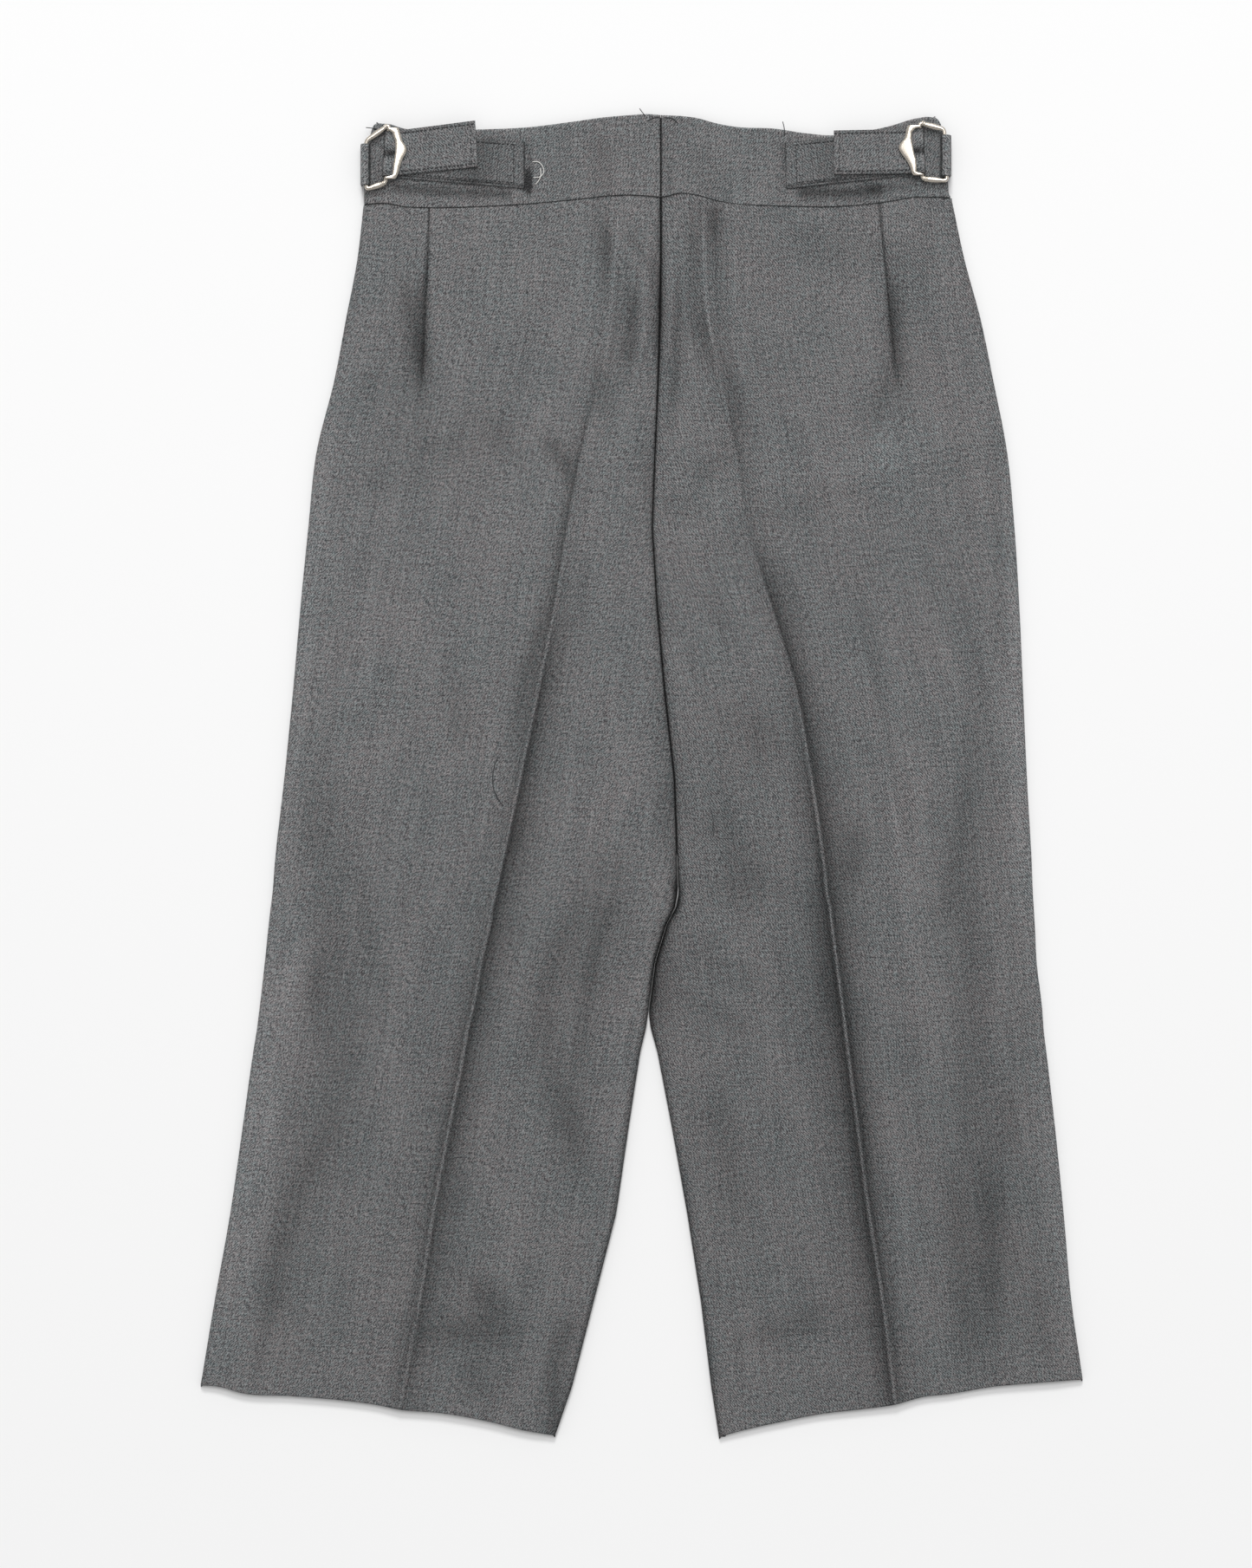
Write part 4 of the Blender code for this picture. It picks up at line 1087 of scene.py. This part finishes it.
def band_points(side):
    """Upper skin of a back waistband: rolled round the side, turned in along its other edges."""
    turn = inward(side)
    share, shift, drop = band_edges(BAND_ROWS)
    edge = band_side(side, np.clip(share + shift / BAND_DEPTH, 0.0, 1.0))
    centre = CENTRE_BACK - turn * SEAM_GAP / 2
    inner = np.full(len(share), centre - turn * BAND_ROLL)
    roll_off, roll_up = leg_roll(BAND_HEIGHT - drop, drop)
    outer = edge[:, None] + turn * roll_off
    fold_off, fold_up = seam_roll(np.array([0.0]), BAND_ROLL, BAND_TAIL)
    fold = np.broadcast_to(centre - turn * fold_off[0, ::-1], (len(share), fold_off.shape[1]))
    x = np.concatenate([outer[:, :-1], spaced(outer[:, -1], inner, BAND_STEPS), fold], axis=1)
    corner = edge + turn * BAND_HEIGHT / 2
    across = np.concatenate([np.repeat(corner[:, None], ROLL_STEPS + 1, axis=1),
                             spaced(corner, inner, BAND_STEPS), fold], axis=1)
    low = waist_seam(across) + WAIST_SEAM_GAP / 2
    y = low + (waist_top(across) - low) * share[:, None] + shift[:, None]
    fall = np.hypot(drop[:, None], np.concatenate([np.zeros(BAND_STEPS), -fold_up[0, ::-1]]))
    top = BAND_HEIGHT - fall + band_relief(x[:, -fall.shape[1]:], y[:, -fall.shape[1]:])
    return west_first(side, points_at(x, y, np.concatenate([roll_up[:, :-1], top], axis=1)))


def band_front_points(side):
    """Upper side of a front waistband, inside the rolled end of the back one."""
    turn = inward(side)
    share = np.linspace(0.0, 0.975, BAND_FRONT_ROWS)
    outer = band_side(side, share) + turn * (BAND_HEIGHT / 2 + UNDER_WRAP + SEAM_GAP)
    x = between([outer, 0 * share + CENTRE_BACK - turn * FRONT_GAP / 2], BAND_FRONT_COLUMNS)
    low = waist_seam(x) + WAIST_SEAM_GAP / 2
    y = low + (waist_top(x) - low) * share[:, None]
    return west_first(side, points_at(x, y, BAND_FRONT_CLOTH))


def round_section(across, upper, lower):
    """Once round a section: across on its upper face and back on its lower one."""
    return (np.concatenate([across, across[-2:0:-1]]), np.concatenate([upper, lower[-2:0:-1]]))


def strap_section():
    """Round a strap: two stitched faces; the upper ply's lower edge is set in from the fold."""
    edge = np.array(STRAP_EDGE)
    middle = np.linspace(3.3, STRAP_WIDTH - 3.3, 18)
    across = np.concatenate([edge, middle, STRAP_WIDTH - edge[::-1]])
    from_edge = np.minimum(across, STRAP_WIDTH - across)
    half = STRAP_CLOTH / 2 * rounded(from_edge, STRAP_CLOTH / 2)
    groove = STITCH_GROOVE * bell((from_edge - EDGE_STITCH) / 0.4)
    set_in = 1 - smooth((STRAP_WIDTH - across - PLY_SET_IN) / 0.3)
    return round_section(across / STRAP_WIDTH, half - groove - PLY_STEP * half * set_in,
                         groove - half)


def strap_edges(table, outward):
    """A strap's two long edges: along the waistband, round the hinge bar and back on top."""
    sewn, bar, free = (np.reshape(table[place], (2, 2)) for place in table)
    end = np.array(STRAP_END)
    reach = abs(bar[0, 0] - sewn[0, 0])
    low = np.concatenate([end / reach, np.linspace(0.9 / reach, 1.0, 60)[:-1]])
    angle = np.radians(np.linspace(-90.0, 90.0, WRAP_STEPS))
    back_reach = abs(free[0, 0] - bar[0, 0])
    back = np.concatenate([np.linspace(0.0, back_reach - 0.9, 50)[1:], back_reach - end[::-1]])
    share = np.concatenate([low, np.ones(WRAP_STEPS), back / back_reach])[:, None]
    returned = (np.arange(len(share)) >= len(low) + WRAP_STEPS)[:, None]
    shift = outward * np.concatenate([0 * low, WRAP_RADIUS * np.cos(angle), 0 * back])
    z = np.concatenate([0 * low + STRAP_LIFT, BAR_LIFT + WRAP_RADIUS * np.sin(angle),
                        STRAP_LIFT + curve(back, RETURN["distance"], RETURN["height"])])
    paths = []
    for i in range(2):
        first = np.where(returned, bar[i], sewn[i])
        last = np.where(returned, free[i], bar[i])
        place = first + (last - first) * share
        paths.append(points_at(place[:, 0] + shift, place[:, 1], z))
    thin = np.ones(len(share))
    thin[:4] = np.maximum(rounded(end, 0.5), 0.2)
    thin[-4:] = thin[3::-1]
    return paths[0], paths[1], thin, len(low)


def strap_rings(table, outward):
    """A strap as one closed form, pinched across its turn round the bar between two lumps."""
    upper, lower, thin = strap_edges(table, outward)[:3]
    across, height = strap_section()
    rings = strip(upper, lower, across, height, thin)
    turned = bell((np.arange(len(thin))[:, None] - STRAP_TURN) / WRAP_SPREAD)
    bulge = 0.5 * sum(bell((across - middle) / width) for middle, width in WRAP_LUMPS)
    pinch = turned * (bell((across - WRAP_CREASE) / 0.06) - bulge)
    rings[..., 0] -= outward * WRAP_PINCH * pinch
    rings[..., 2] -= WRAP_PINCH * pinch
    rings[..., 2] += band_relief(rings[..., 0], rings[..., 1])
    return rings, points_at(run_along(upper)[:, None], across * STRAP_WIDTH)


def strap_dark(table, outward, rings):
    """Painted shade on a strap: its edges, sewn end and set-in ply, the shadow that the free end
    casts on the run below, and its turn round the bar, painted shade in its crease and outside and
    a painted highlight on its lumps."""
    across = strap_section()[0]
    from_crease = across - WRAP_CREASE
    across = across * STRAP_WIDTH
    from_edge = np.minimum(across, STRAP_WIDTH - across)
    run = np.arange(rings.shape[0])[:, None]
    lower_run = run < rings.shape[0] // 2
    turn = run - STRAP_TURN
    sewn = rings[..., 0] - table["sewn end"][0]
    past = np.abs(table["free end"][0] - rings[..., 0])
    shade = STRAP_SHADE[int(outward > 0)] * np.exp(-past / STRAP_SHADE_REACH)
    beside_crease = WRAP_DARK["beside"] * bell(from_crease / 0.12)
    at_edges = WRAP_DARK["edges"] * bell(from_edge / 2.5)
    return together(
        np.where(lower_run, *STRAP_LINE) * bell(from_edge / 0.5)
        + 0.15 * bell((from_edge - EDGE_STITCH) / 0.45),
        np.where(lower_run, *STRAP_STEP) * bell((STRAP_WIDTH - across - PLY_SET_IN) / 0.4),
        np.where(lower_run, 0.7 * bell(sewn / 0.8), 0.0),
        np.where(lower_run, shade, 0.0),
        WRAP_DARK["crease"] * bell(turn / WRAP_SPREAD) * bell(from_crease / 0.05),
        bell(turn / 9.0) * (beside_crease + at_edges - WRAP_LUMP_HIGHLIGHT),
        WRAP_DARK["outside"] * bell((turn + 7.0) / 2.6))


def strap_stitch_lines(table, outward):
    """Where the strap's stitches run: a box at the sewn end, both edges and the free end."""
    upper, lower, thin, bar_at = strap_edges(table, outward)
    edge = EDGE_STITCH / STRAP_WIDTH
    set_in = 1 - edge - 0.03
    low = slice(8, bar_at)
    high = slice(bar_at + 24, len(thin) - 3)
    runs = [(low, set_in), (low, edge), (high, edge), (high, 1 - edge)]
    runs += [(ring, np.linspace(edge, last, 20)[:, None])
             for ring, last in ((8, set_in), (len(thin) - 7, 1 - edge))]
    lines = []
    for part, share in runs:
        place = upper[part] + (lower - upper)[part] * share
        place[:, 2] += STRAP_CLOTH / 2 + band_relief(place[:, 0], place[:, 1])
        lines.append(place)
    return lines


def loop_rings(loop, outward):
    """A strap loop: from the side of the waistband round the buckle's end bar and down again."""
    centre = loop["fold"] + outward * (WRAP_RADIUS + STRAP_CLOTH / 2)
    reach = loop["side"] - centre
    top = BAR_LIFT + WRAP_RADIUS
    inner = np.radians(np.linspace(-90.0, 90.0, 19))
    outer = np.radians(np.linspace(84.0, 6.0, 14))
    x = np.concatenate([[centre + outward * 0.8], centre - outward * WRAP_RADIUS * np.cos(inner),
                        centre + reach * np.cos(outer), [loop["side"]] * 4])
    z = np.concatenate([[STRAP_LIFT], BAR_LIFT + WRAP_RADIUS * np.sin(inner),
                        BAR_LIFT - 1.0 + (top - BAR_LIFT + 1.0) * np.sin(outer),
                        np.linspace(BAR_LIFT - 1.4, LOOP_FOOT, 4)])
    upper = points_at(x, loop["upper"], z)
    lower = points_at(x, loop["lower"], z)
    width = loop["upper"] - loop["lower"]
    edge = np.array(LOOP_EDGE)
    across = np.concatenate([edge, np.linspace(1.0, width - 1.0, 24), width - edge[::-1]])
    half = STRAP_CLOTH / 2 * rounded(np.minimum(across, width - across), STRAP_CLOTH / 2)
    share, height = round_section(across / width, half, -half)
    rings = strip(upper, lower, share, height, np.ones(len(x)))
    past = outward * (rings[..., 0] - loop["fold"])
    # Painted shade at the fold round the end bar, and painted light on the loop past it
    dark = LOOP_DARK * bell((past - 0.4) / 0.6) - LOOP_PAINTED_LIGHT * smooth((past - 1.2) / 1.5)
    return rings, points_at(run_along(upper)[:, None], share * width), dark


def plate_rings(table, bar, outward):
    """A clamp plate: pressed sheet between its near and far outlines, its edges eased."""
    start, end = np.array(bar)
    share = np.linspace(0.0, 1.0, PLATE_ROWS)
    near = read(table, "near", share, "share")
    far = curve(share, table["share"], table["far"])
    width = (far - near)[:, None]
    edge = np.array(PLATE_EDGE)
    level = np.linspace(0.0, 1.0, 9)
    across = np.concatenate([np.broadcast_to(edge, (PLATE_ROWS, len(edge))),
                             edge[-1] + (width - 2 * edge[-1]) * level[1:-1],
                             width - edge[::-1]], axis=1)
    from_edge = np.minimum(across, width - across)
    ends = np.minimum(share, 1 - share) * np.linalg.norm(end - start)
    half = PLATE_THICK / 2 * rounded(from_edge, PLATE_EASE) * rounded(ends + 0.05, 0.5)[:, None]
    dome = PLATE_DOME * (1 - np.square(2 * across / width - 1))
    distance = near[:, None] + across
    middle = PLATE_LIFT - PLATE_FALL * np.maximum(distance, 0.0)
    x = start[0] + (end[0] - start[0]) * share[:, None] - outward * distance
    y = start[1] + (end[1] - start[1]) * share[:, None]
    face = points_at(x, y, middle + half + dome)
    back = points_at(x, y, middle - half)
    return np.concatenate([face, back[:, -2:0:-1]], axis=1)[None]


def wire_path(corners):
    """A closed wire through its corners, each one turned into a short arc."""
    here = np.array(corners)
    before = np.roll(here, 1, axis=0)
    after = np.roll(here, -1, axis=0)
    start = here + (before - here) / np.linalg.norm(before - here, axis=1)[:, None] * FRAME_CORNER
    end = here + (after - here) / np.linalg.norm(after - here, axis=1)[:, None] * FRAME_CORNER
    t = np.linspace(0.0, 1.0, 9)[:, None]
    arcs = (start[:, None] * (1 - t) ** 2 + here[:, None] * 2 * t * (1 - t) + end[:, None] * t * t)
    straight = np.linspace(0.0, 1.0, 14)[1:-1, None]
    arms = arcs[:, -1, None] + (np.roll(arcs[:, 0], -1, axis=0) - arcs[:, -1])[:, None] * straight
    return np.concatenate([arcs, arms], axis=1).reshape(-1, 2)


def wire_rings(corners):
    """The buckle's frame: a closed wire, wider than it is high, most so along its two arms."""
    path = wire_path(corners)
    run = np.roll(path, -1, axis=0) - np.roll(path, 1, axis=0)
    run /= np.linalg.norm(run, axis=1)[:, None]
    side = np.stack([-run[:, 1], run[:, 0]], axis=-1)
    middle = np.array(corners)[:, 0].mean()
    half = WIRE_HALF_WIDTH + ARM_SPREAD * bell((path[:, :1] - middle) / ARM_REACH)
    angle = 2 * math.pi * np.arange(20) / 20
    x = path[:, :1] + side[:, :1] * half * np.cos(angle)
    y = path[:, 1:] + side[:, 1:] * half * np.cos(angle)
    return points_at(x, y, BAR_LIFT + WIRE / 2 * np.sin(angle))[None]


def sleeve_rings(corners):
    """The plate's two knuckles: short sleeves round the frame's arms beside the hinge bar."""
    count = 15
    along = np.linspace(0.0, 1.0, count)
    radius = WIRE_HALF_WIDTH + 0.3 + 0.45 * rounded(np.minimum(along, 1 - along) * SLEEVE, 0.4)
    radius -= 0.22 * bell((along - 0.5) / 0.12)
    paths = []
    for corner, other in ((corners[0], corners[1]), (corners[3], corners[2])):
        corner, other = np.array(corner), np.array(other)
        run = (other - corner) / np.linalg.norm(other - corner)
        place = corner + run * (SLEEVE_OFF + SLEEVE * (along[:, None] - 0.5))
        paths.append(np.concatenate([place, np.full((count, 1), BAR_LIFT)], axis=1))
    rings = tubes(np.array(paths), 1.0, 20, 1.0)
    centre = np.array(paths)[:, :, None]
    return centre + (rings - centre) * radius[:, None, None]


def new_finish(name):
    """A new material with its node tree and its shader."""
    finish = bpy.data.materials.new(name)
    finish.use_nodes = True
    return finish, finish.node_tree, finish.node_tree.nodes["Principled BSDF"]


def wool(name, slant, line_strength, mix):
    """Worsted wool twill of grey and near-black yarn: matt and dry, flecked along its diagonal."""
    finish, tree, shader = new_finish(name)
    shader.inputs["Roughness"].default_value = 0.82
    shader.inputs["Sheen Weight"].default_value = 0.04
    shader.inputs["Sheen Roughness"].default_value = 0.45
    shader.inputs["Specular IOR Level"].default_value = 0.08
    place = add(tree, "ShaderNodeUVMap", {"uv_map": "grain"}).outputs["UV"]
    turn = -slant * math.pi / 4
    noises = {}
    for layer, across, along, turned, detail in WOOL_LAYERS:
        scaled = add(tree, "ShaderNodeMapping",
                     {"vector_type": "TEXTURE", "Scale": (across * MM, along * MM, 1.0),
                      "Rotation": (0.0, 0.0, turned * turn)}, Vector=place)
        noises[layer] = add(tree, "ShaderNodeTexNoise", {"Scale": 1.0, "Detail": detail},
                            Vector=scaled.outputs["Vector"]).outputs["Fac"]
    lines = add(tree, "ShaderNodeMapping",
                {"vector_type": "TEXTURE", "Scale": (TWILL * MM, MM, 1.0),
                 "Rotation": (0.0, 0.0, turn)}, Vector=place)
    across = add(tree, "ShaderNodeSeparateXYZ", Vector=lines.outputs["Vector"]).outputs["X"]
    bent = add(tree, "ShaderNodeMath", {"operation": "MULTIPLY_ADD", 1: TWILL_BEND},
               _0=noises["slub"], _2=across)
    phase = add(tree, "ShaderNodeMath", {"operation": "MULTIPLY", 1: 2 * math.pi},
                _0=bent.outputs[0])
    line = add(tree, "ShaderNodeMath", {"operation": "SINE"}, _0=phase.outputs[0])
    weave = add(tree, "ShaderNodeMath", {"operation": "MULTIPLY", 1: line_strength},
                _0=line.outputs[0])
    total = weave.outputs[0]
    for layer, strength in WOOL_STRENGTHS:
        centred = add(tree, "ShaderNodeMath", {"operation": "SUBTRACT", 1: 0.5},
                      _0=noises[layer])
        total = add(tree, "ShaderNodeMath", {"operation": "MULTIPLY_ADD", 1: strength},
                    _0=centred.outputs[0], _2=total).outputs[0]
        if layer == "pepper":
            relief = total
    # Painted shade and light: the piece's dark attribute scales the yarn's colour, darker where it
    # is positive and paler where it is negative
    dark = add(tree, "ShaderNodeAttribute", {"attribute_name": "dark"}).outputs["Fac"]
    light = add(tree, "ShaderNodeMath", {"operation": "SUBTRACT", 0: 1.0}, _1=dark)
    value = add(tree, "ShaderNodeMath", {"operation": "ADD", 1: mix, "use_clamp": True},
                _0=total)
    hue = add(tree, "ShaderNodeMath", {"operation": "MULTIPLY_ADD", 1: 0.4},
              _0=noises["mottle"], _2=noises["tint"])
    warmth = add(tree, "ShaderNodeMapRange", {"From Min": WARM_FROM, "From Max": WARM_TO},
                 Value=hue.outputs[0])
    cool, warm = (add(tree, "ShaderNodeMix", {"data_type": "RGBA", 6: linear(low), 7: linear(high)},
                      _0=value.outputs[0]).outputs[2] for low, high in WOOL_COLOURS)
    yarn = add(tree, "ShaderNodeMix", {"data_type": "RGBA"}, _0=warmth.outputs["Result"],
               _6=cool, _7=warm)
    lit = add(tree, "ShaderNodeVectorMath", {"operation": "SCALE"}, _0=yarn.outputs[2],
              Scale=light.outputs[0])
    tree.links.new(lit.outputs["Vector"], shader.inputs["Base Color"])
    bump = add(tree, "ShaderNodeBump", {"Strength": 0.4, "Distance": WEAVE_DEPTH * MM},
               Height=relief)
    tree.links.new(bump.outputs["Normal"], shader.inputs["Normal"])
    return finish


def thread(name, colour):
    """Polyester-cotton sewing thread: fine plied yarn, matt, with a slight twist shading."""
    finish, tree, shader = new_finish(name)
    shader.inputs["Roughness"].default_value = 0.7
    shader.inputs["Sheen Weight"].default_value = 0.2
    place = add(tree, "ShaderNodeTexCoord").outputs["Object"]
    twist = add(tree, "ShaderNodeTexNoise", {"Scale": 2500.0, "Detail": 1.0}, Vector=place)
    shade = add(tree, "ShaderNodeHueSaturation", {"Color": linear(colour)})
    level = add(tree, "ShaderNodeMapRange", {"To Min": 0.7, "To Max": 1.3},
                Value=twist.outputs["Fac"])
    tree.links.new(level.outputs["Result"], shade.inputs["Value"])
    tree.links.new(shade.outputs["Color"], shader.inputs["Base Color"])
    return finish


def nickel():
    """Polished nickel plate on steel: warm silver, clear reflections, softer along its lines."""
    finish, tree, shader = new_finish("nickel")
    shader.inputs["Metallic"].default_value = 1.0
    place = add(tree, "ShaderNodeTexCoord").outputs["Object"]
    drawn = add(tree, "ShaderNodeMapping", {"vector_type": "TEXTURE",
                                            "Scale": (0.0015, 0.02, 0.0015)}, Vector=place)
    lines = add(tree, "ShaderNodeTexNoise", {"Scale": 1.0, "Detail": 0.0},
                Vector=drawn.outputs["Vector"])
    cloud = add(tree, "ShaderNodeTexNoise", {"Scale": 150.0, "Detail": 1.0}, Vector=place)
    rough = add(tree, "ShaderNodeMapRange", {"To Min": 0.24, "To Max": 0.28},
                Value=lines.outputs["Fac"])
    colour = add(tree, "ShaderNodeMix", {"data_type": "RGBA", 6: linear("#C9C0B4"),
                                         7: linear("#D1C9BE")}, _0=cloud.outputs["Fac"])
    tree.links.new(rough.outputs["Result"], shader.inputs["Roughness"])
    tree.links.new(colour.outputs[2], shader.inputs["Base Color"])
    return finish


def paper_floor():
    """Matt white background paper, which gives an even pale ground."""
    finish, tree, shader = new_finish("white_paper")
    shader.inputs["Base Color"].default_value = linear("#F4F4F4")
    shader.inputs["Roughness"].default_value = 0.95
    shader.inputs["Specular IOR Level"].default_value = 0.1
    mesh = bpy.data.meshes.new("floor")
    half = 4.0
    mesh.from_pydata([(-half, -half, 0), (half, -half, 0), (half, half, 0), (-half, half, 0)],
                     [], [(0, 1, 2, 3)])
    mesh.materials.append(finish)
    placed("floor", mesh)


def lamp(name, place, aim, size, power):
    """A square soft box at a place, turned towards a point."""
    data = bpy.data.lights.new(name, "AREA")
    data.shape = "SQUARE"
    data.size = size
    data.energy = power
    light = placed(name, data)
    light.location = place
    run = np.array(aim) - np.array(place)
    light.rotation_euler = (math.atan2(math.hypot(run[0], run[1]), -run[2]), 0.0,
                            math.atan2(run[1], run[0]) - math.pi / 2)


def studio():
    """White walls under a darker ceiling, a big soft box above, a smaller one past the waist."""
    world = bpy.data.worlds.new("studio")
    world.use_nodes = True
    tree = world.node_tree
    back = tree.nodes["Background"]
    back.inputs["Color"].default_value = (1.0, 1.0, 1.0, 1.0)
    way = add(tree, "ShaderNodeTexCoord").outputs["Generated"]
    height = add(tree, "ShaderNodeSeparateXYZ", Vector=way).outputs["Z"]
    fall = add(tree, "ShaderNodeMapRange",
               {"interpolation_type": "SMOOTHSTEP", 1: CEILING_FROM, 2: CEILING_TO,
                3: WALLS, 4: CEILING}, _0=height)
    tree.links.new(fall.outputs["Result"], back.inputs["Strength"])
    bpy.context.scene.world = world
    bpy.context.scene.view_settings.view_transform = "Standard"
    lamp("overhead", (0.3, 3.0, 6.6), (0.0, 0.0, 0.0), 3.4, 186.0)
    lamp("key", (-0.4, 6.4, 5.0), (0.0, 0.0, 0.0), 1.6, 285.0)


def camera():
    """Straight overhead; the lens makes the photo's longer side fill the frame."""
    data = bpy.data.cameras.new("camera")
    data.sensor_width = 36.0
    data.lens = data.sensor_width * CAMERA_HEIGHT / (PHOTO_HEIGHT * PIXEL)
    eye = placed("camera", data)
    eye.location = (FRAME_CENTRE[0] * MM, FRAME_CENTRE[1] * MM, CAMERA_HEIGHT * MM)
    bpy.context.scene.camera = eye


def surface(x, y):
    """Height of the cloth that shows from above, for stitches and threads that lie on it."""
    height = BAND_HEIGHT + band_relief(x, y)
    west = x < section("left_inner", y)
    for side, own in (("left", west), ("right", ~west)):
        turn = inward(side)
        outer = section(side + "_outer", y) + turn * SIDE_HEIGHT / 2
        share = leg_share(y)
        inset = share * inner_height(side, y) / 2 + (1 - share) * SEAM_ROLL
        inner = section(side + "_inner", y) - turn * (SEAM_GAP / 2 + inset)
        panel = panel_height(side, x, y, outer, inner)
        height = np.where(own & (y < waist_seam(x)), panel, height)
    return height


def laid_line(row, count=LINE_POINTS):
    """A line on the cloth through its points, following the cloth's height."""
    x, y = along_path(row, count).T
    return points_at(x, y, surface(x, y))


camera()
studio()
paper_floor()
DRAW = np.random.default_rng(7)
# The twill's diagonal runs the other way on the right leg, as in the photo
WOOLS = {"left": wool("wool_twill_left", 1.0, 0.22, 0.43),
         "right": wool("wool_twill_right", -1.0, 0.34, 0.40)}
BAND_WOOL = wool("wool_twill_band", 1.0, 0.3, 0.43)
THREAD_DARK = thread("dark_thread", "#1E1F22")
NICKEL = nickel()
for side, outward in (("left", -1.0), ("right", 1.0)):
    panel = panel_points(side)
    x, y = panel[..., 0], panel[..., 1]
    grain = np.stack([x - section(side + "_crease", y), y], axis=-1)
    back = cloth_piece("back_panel_" + side, panel, WOOLS[side], grain, panel_dark(side, x, y),
                       CLOTH)
    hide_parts("back_" + side)
    under = front_points(side)
    front = cloth_piece("front_panel_" + side, under, WOOLS[side], under[..., :2],
                        hidden_dark(under), CLOTH)
    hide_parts("front_" + side)
    band = band_points(side)
    band_back = cloth_piece("back_waistband_" + side, band, BAND_WOOL, band[..., :2],
                            band_dark(side, band[..., 0], band[..., 1]), BAND_CLOTH)
    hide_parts("waistband_back_" + side)
    band = band_front_points(side)
    band_front = cloth_piece("front_waistband_" + side, band, BAND_WOOL, band[..., :2],
                             hidden_dark(band), BAND_FRONT_CLOTH)
    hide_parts("waistband_front_" + side)

    rings, grain = strap_rings(STRAPS[side], outward)
    strap = closed_piece("adjuster_strap_" + side, rings[None], BAND_WOOL, grain,
                         strap_dark(STRAPS[side], outward, rings))
    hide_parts("strap_" + side)
    loop = LOOPS[side]
    rings, grain, dark = loop_rings(loop, outward)
    tie = closed_piece("adjuster_loop_" + side, rings[None], BAND_WOOL, grain, dark)
    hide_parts("strap_loop_" + side)
    wire = closed_piece("buckle_wire_" + side, wire_rings(FRAMES[side]), NICKEL, looped=True)
    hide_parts("buckle_frame_" + side)
    plate = closed_piece("clamp_plate_" + side,
                         plate_rings(PLATES[side], PLATE_BARS[side], outward), NICKEL)
    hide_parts("buckle_plate_" + side)
    sleeve = closed_piece("buckle_knuckles_" + side, sleeve_rings(FRAMES[side]), NICKEL)
    lines = [stitches(line, STRAP_STITCH_PITCH, STRAP_STITCH, STRAP_STITCH_UNEVEN, DRAW,
                      STRAP_THREAD)
             for line in strap_stitch_lines(STRAPS[side], outward)]
    closed_piece("strap_stitches_" + side, np.concatenate(lines), THREAD_DARK)

waist_x = np.linspace(-142.0, 158.0, 600)
waist_line = points_at(waist_x, waist_seam(waist_x), WAIST_STITCH_HEIGHT)
closed_piece("waist_seam_stitches",
             stitches(waist_line, WAIST_STITCH_PITCH, WAIST_STITCH, WAIST_STITCH_UNEVEN, DRAW),
             thread("waist_thread", "#222426"))
marks = []
for pitch, length, *path in STITCHED_LINES:
    marks.append(stitches(laid_line(path, MARK_POINTS), pitch, length, MARK_UNEVEN, DRAW))
closed_piece("hem_and_hand_stitches", np.concatenate(marks), THREAD_DARK)
for name, rows, lift, finish in (
        ("loose_dark_threads", LOOSE_THREADS, 0.0, THREAD_DARK),
        ("loose_pale_threads", PALE_THREADS, 0.5, thread("pale_thread", "#D9D8D4"))):
    loose = np.array([laid_line(row) for row in rows])
    loose[..., 2] += THREAD / 2 + lift * np.sin(np.linspace(0.0, math.pi, LINE_POINTS))
    closed_piece(name, tubes(loose, THREAD / 2, 8, 0.6), finish)
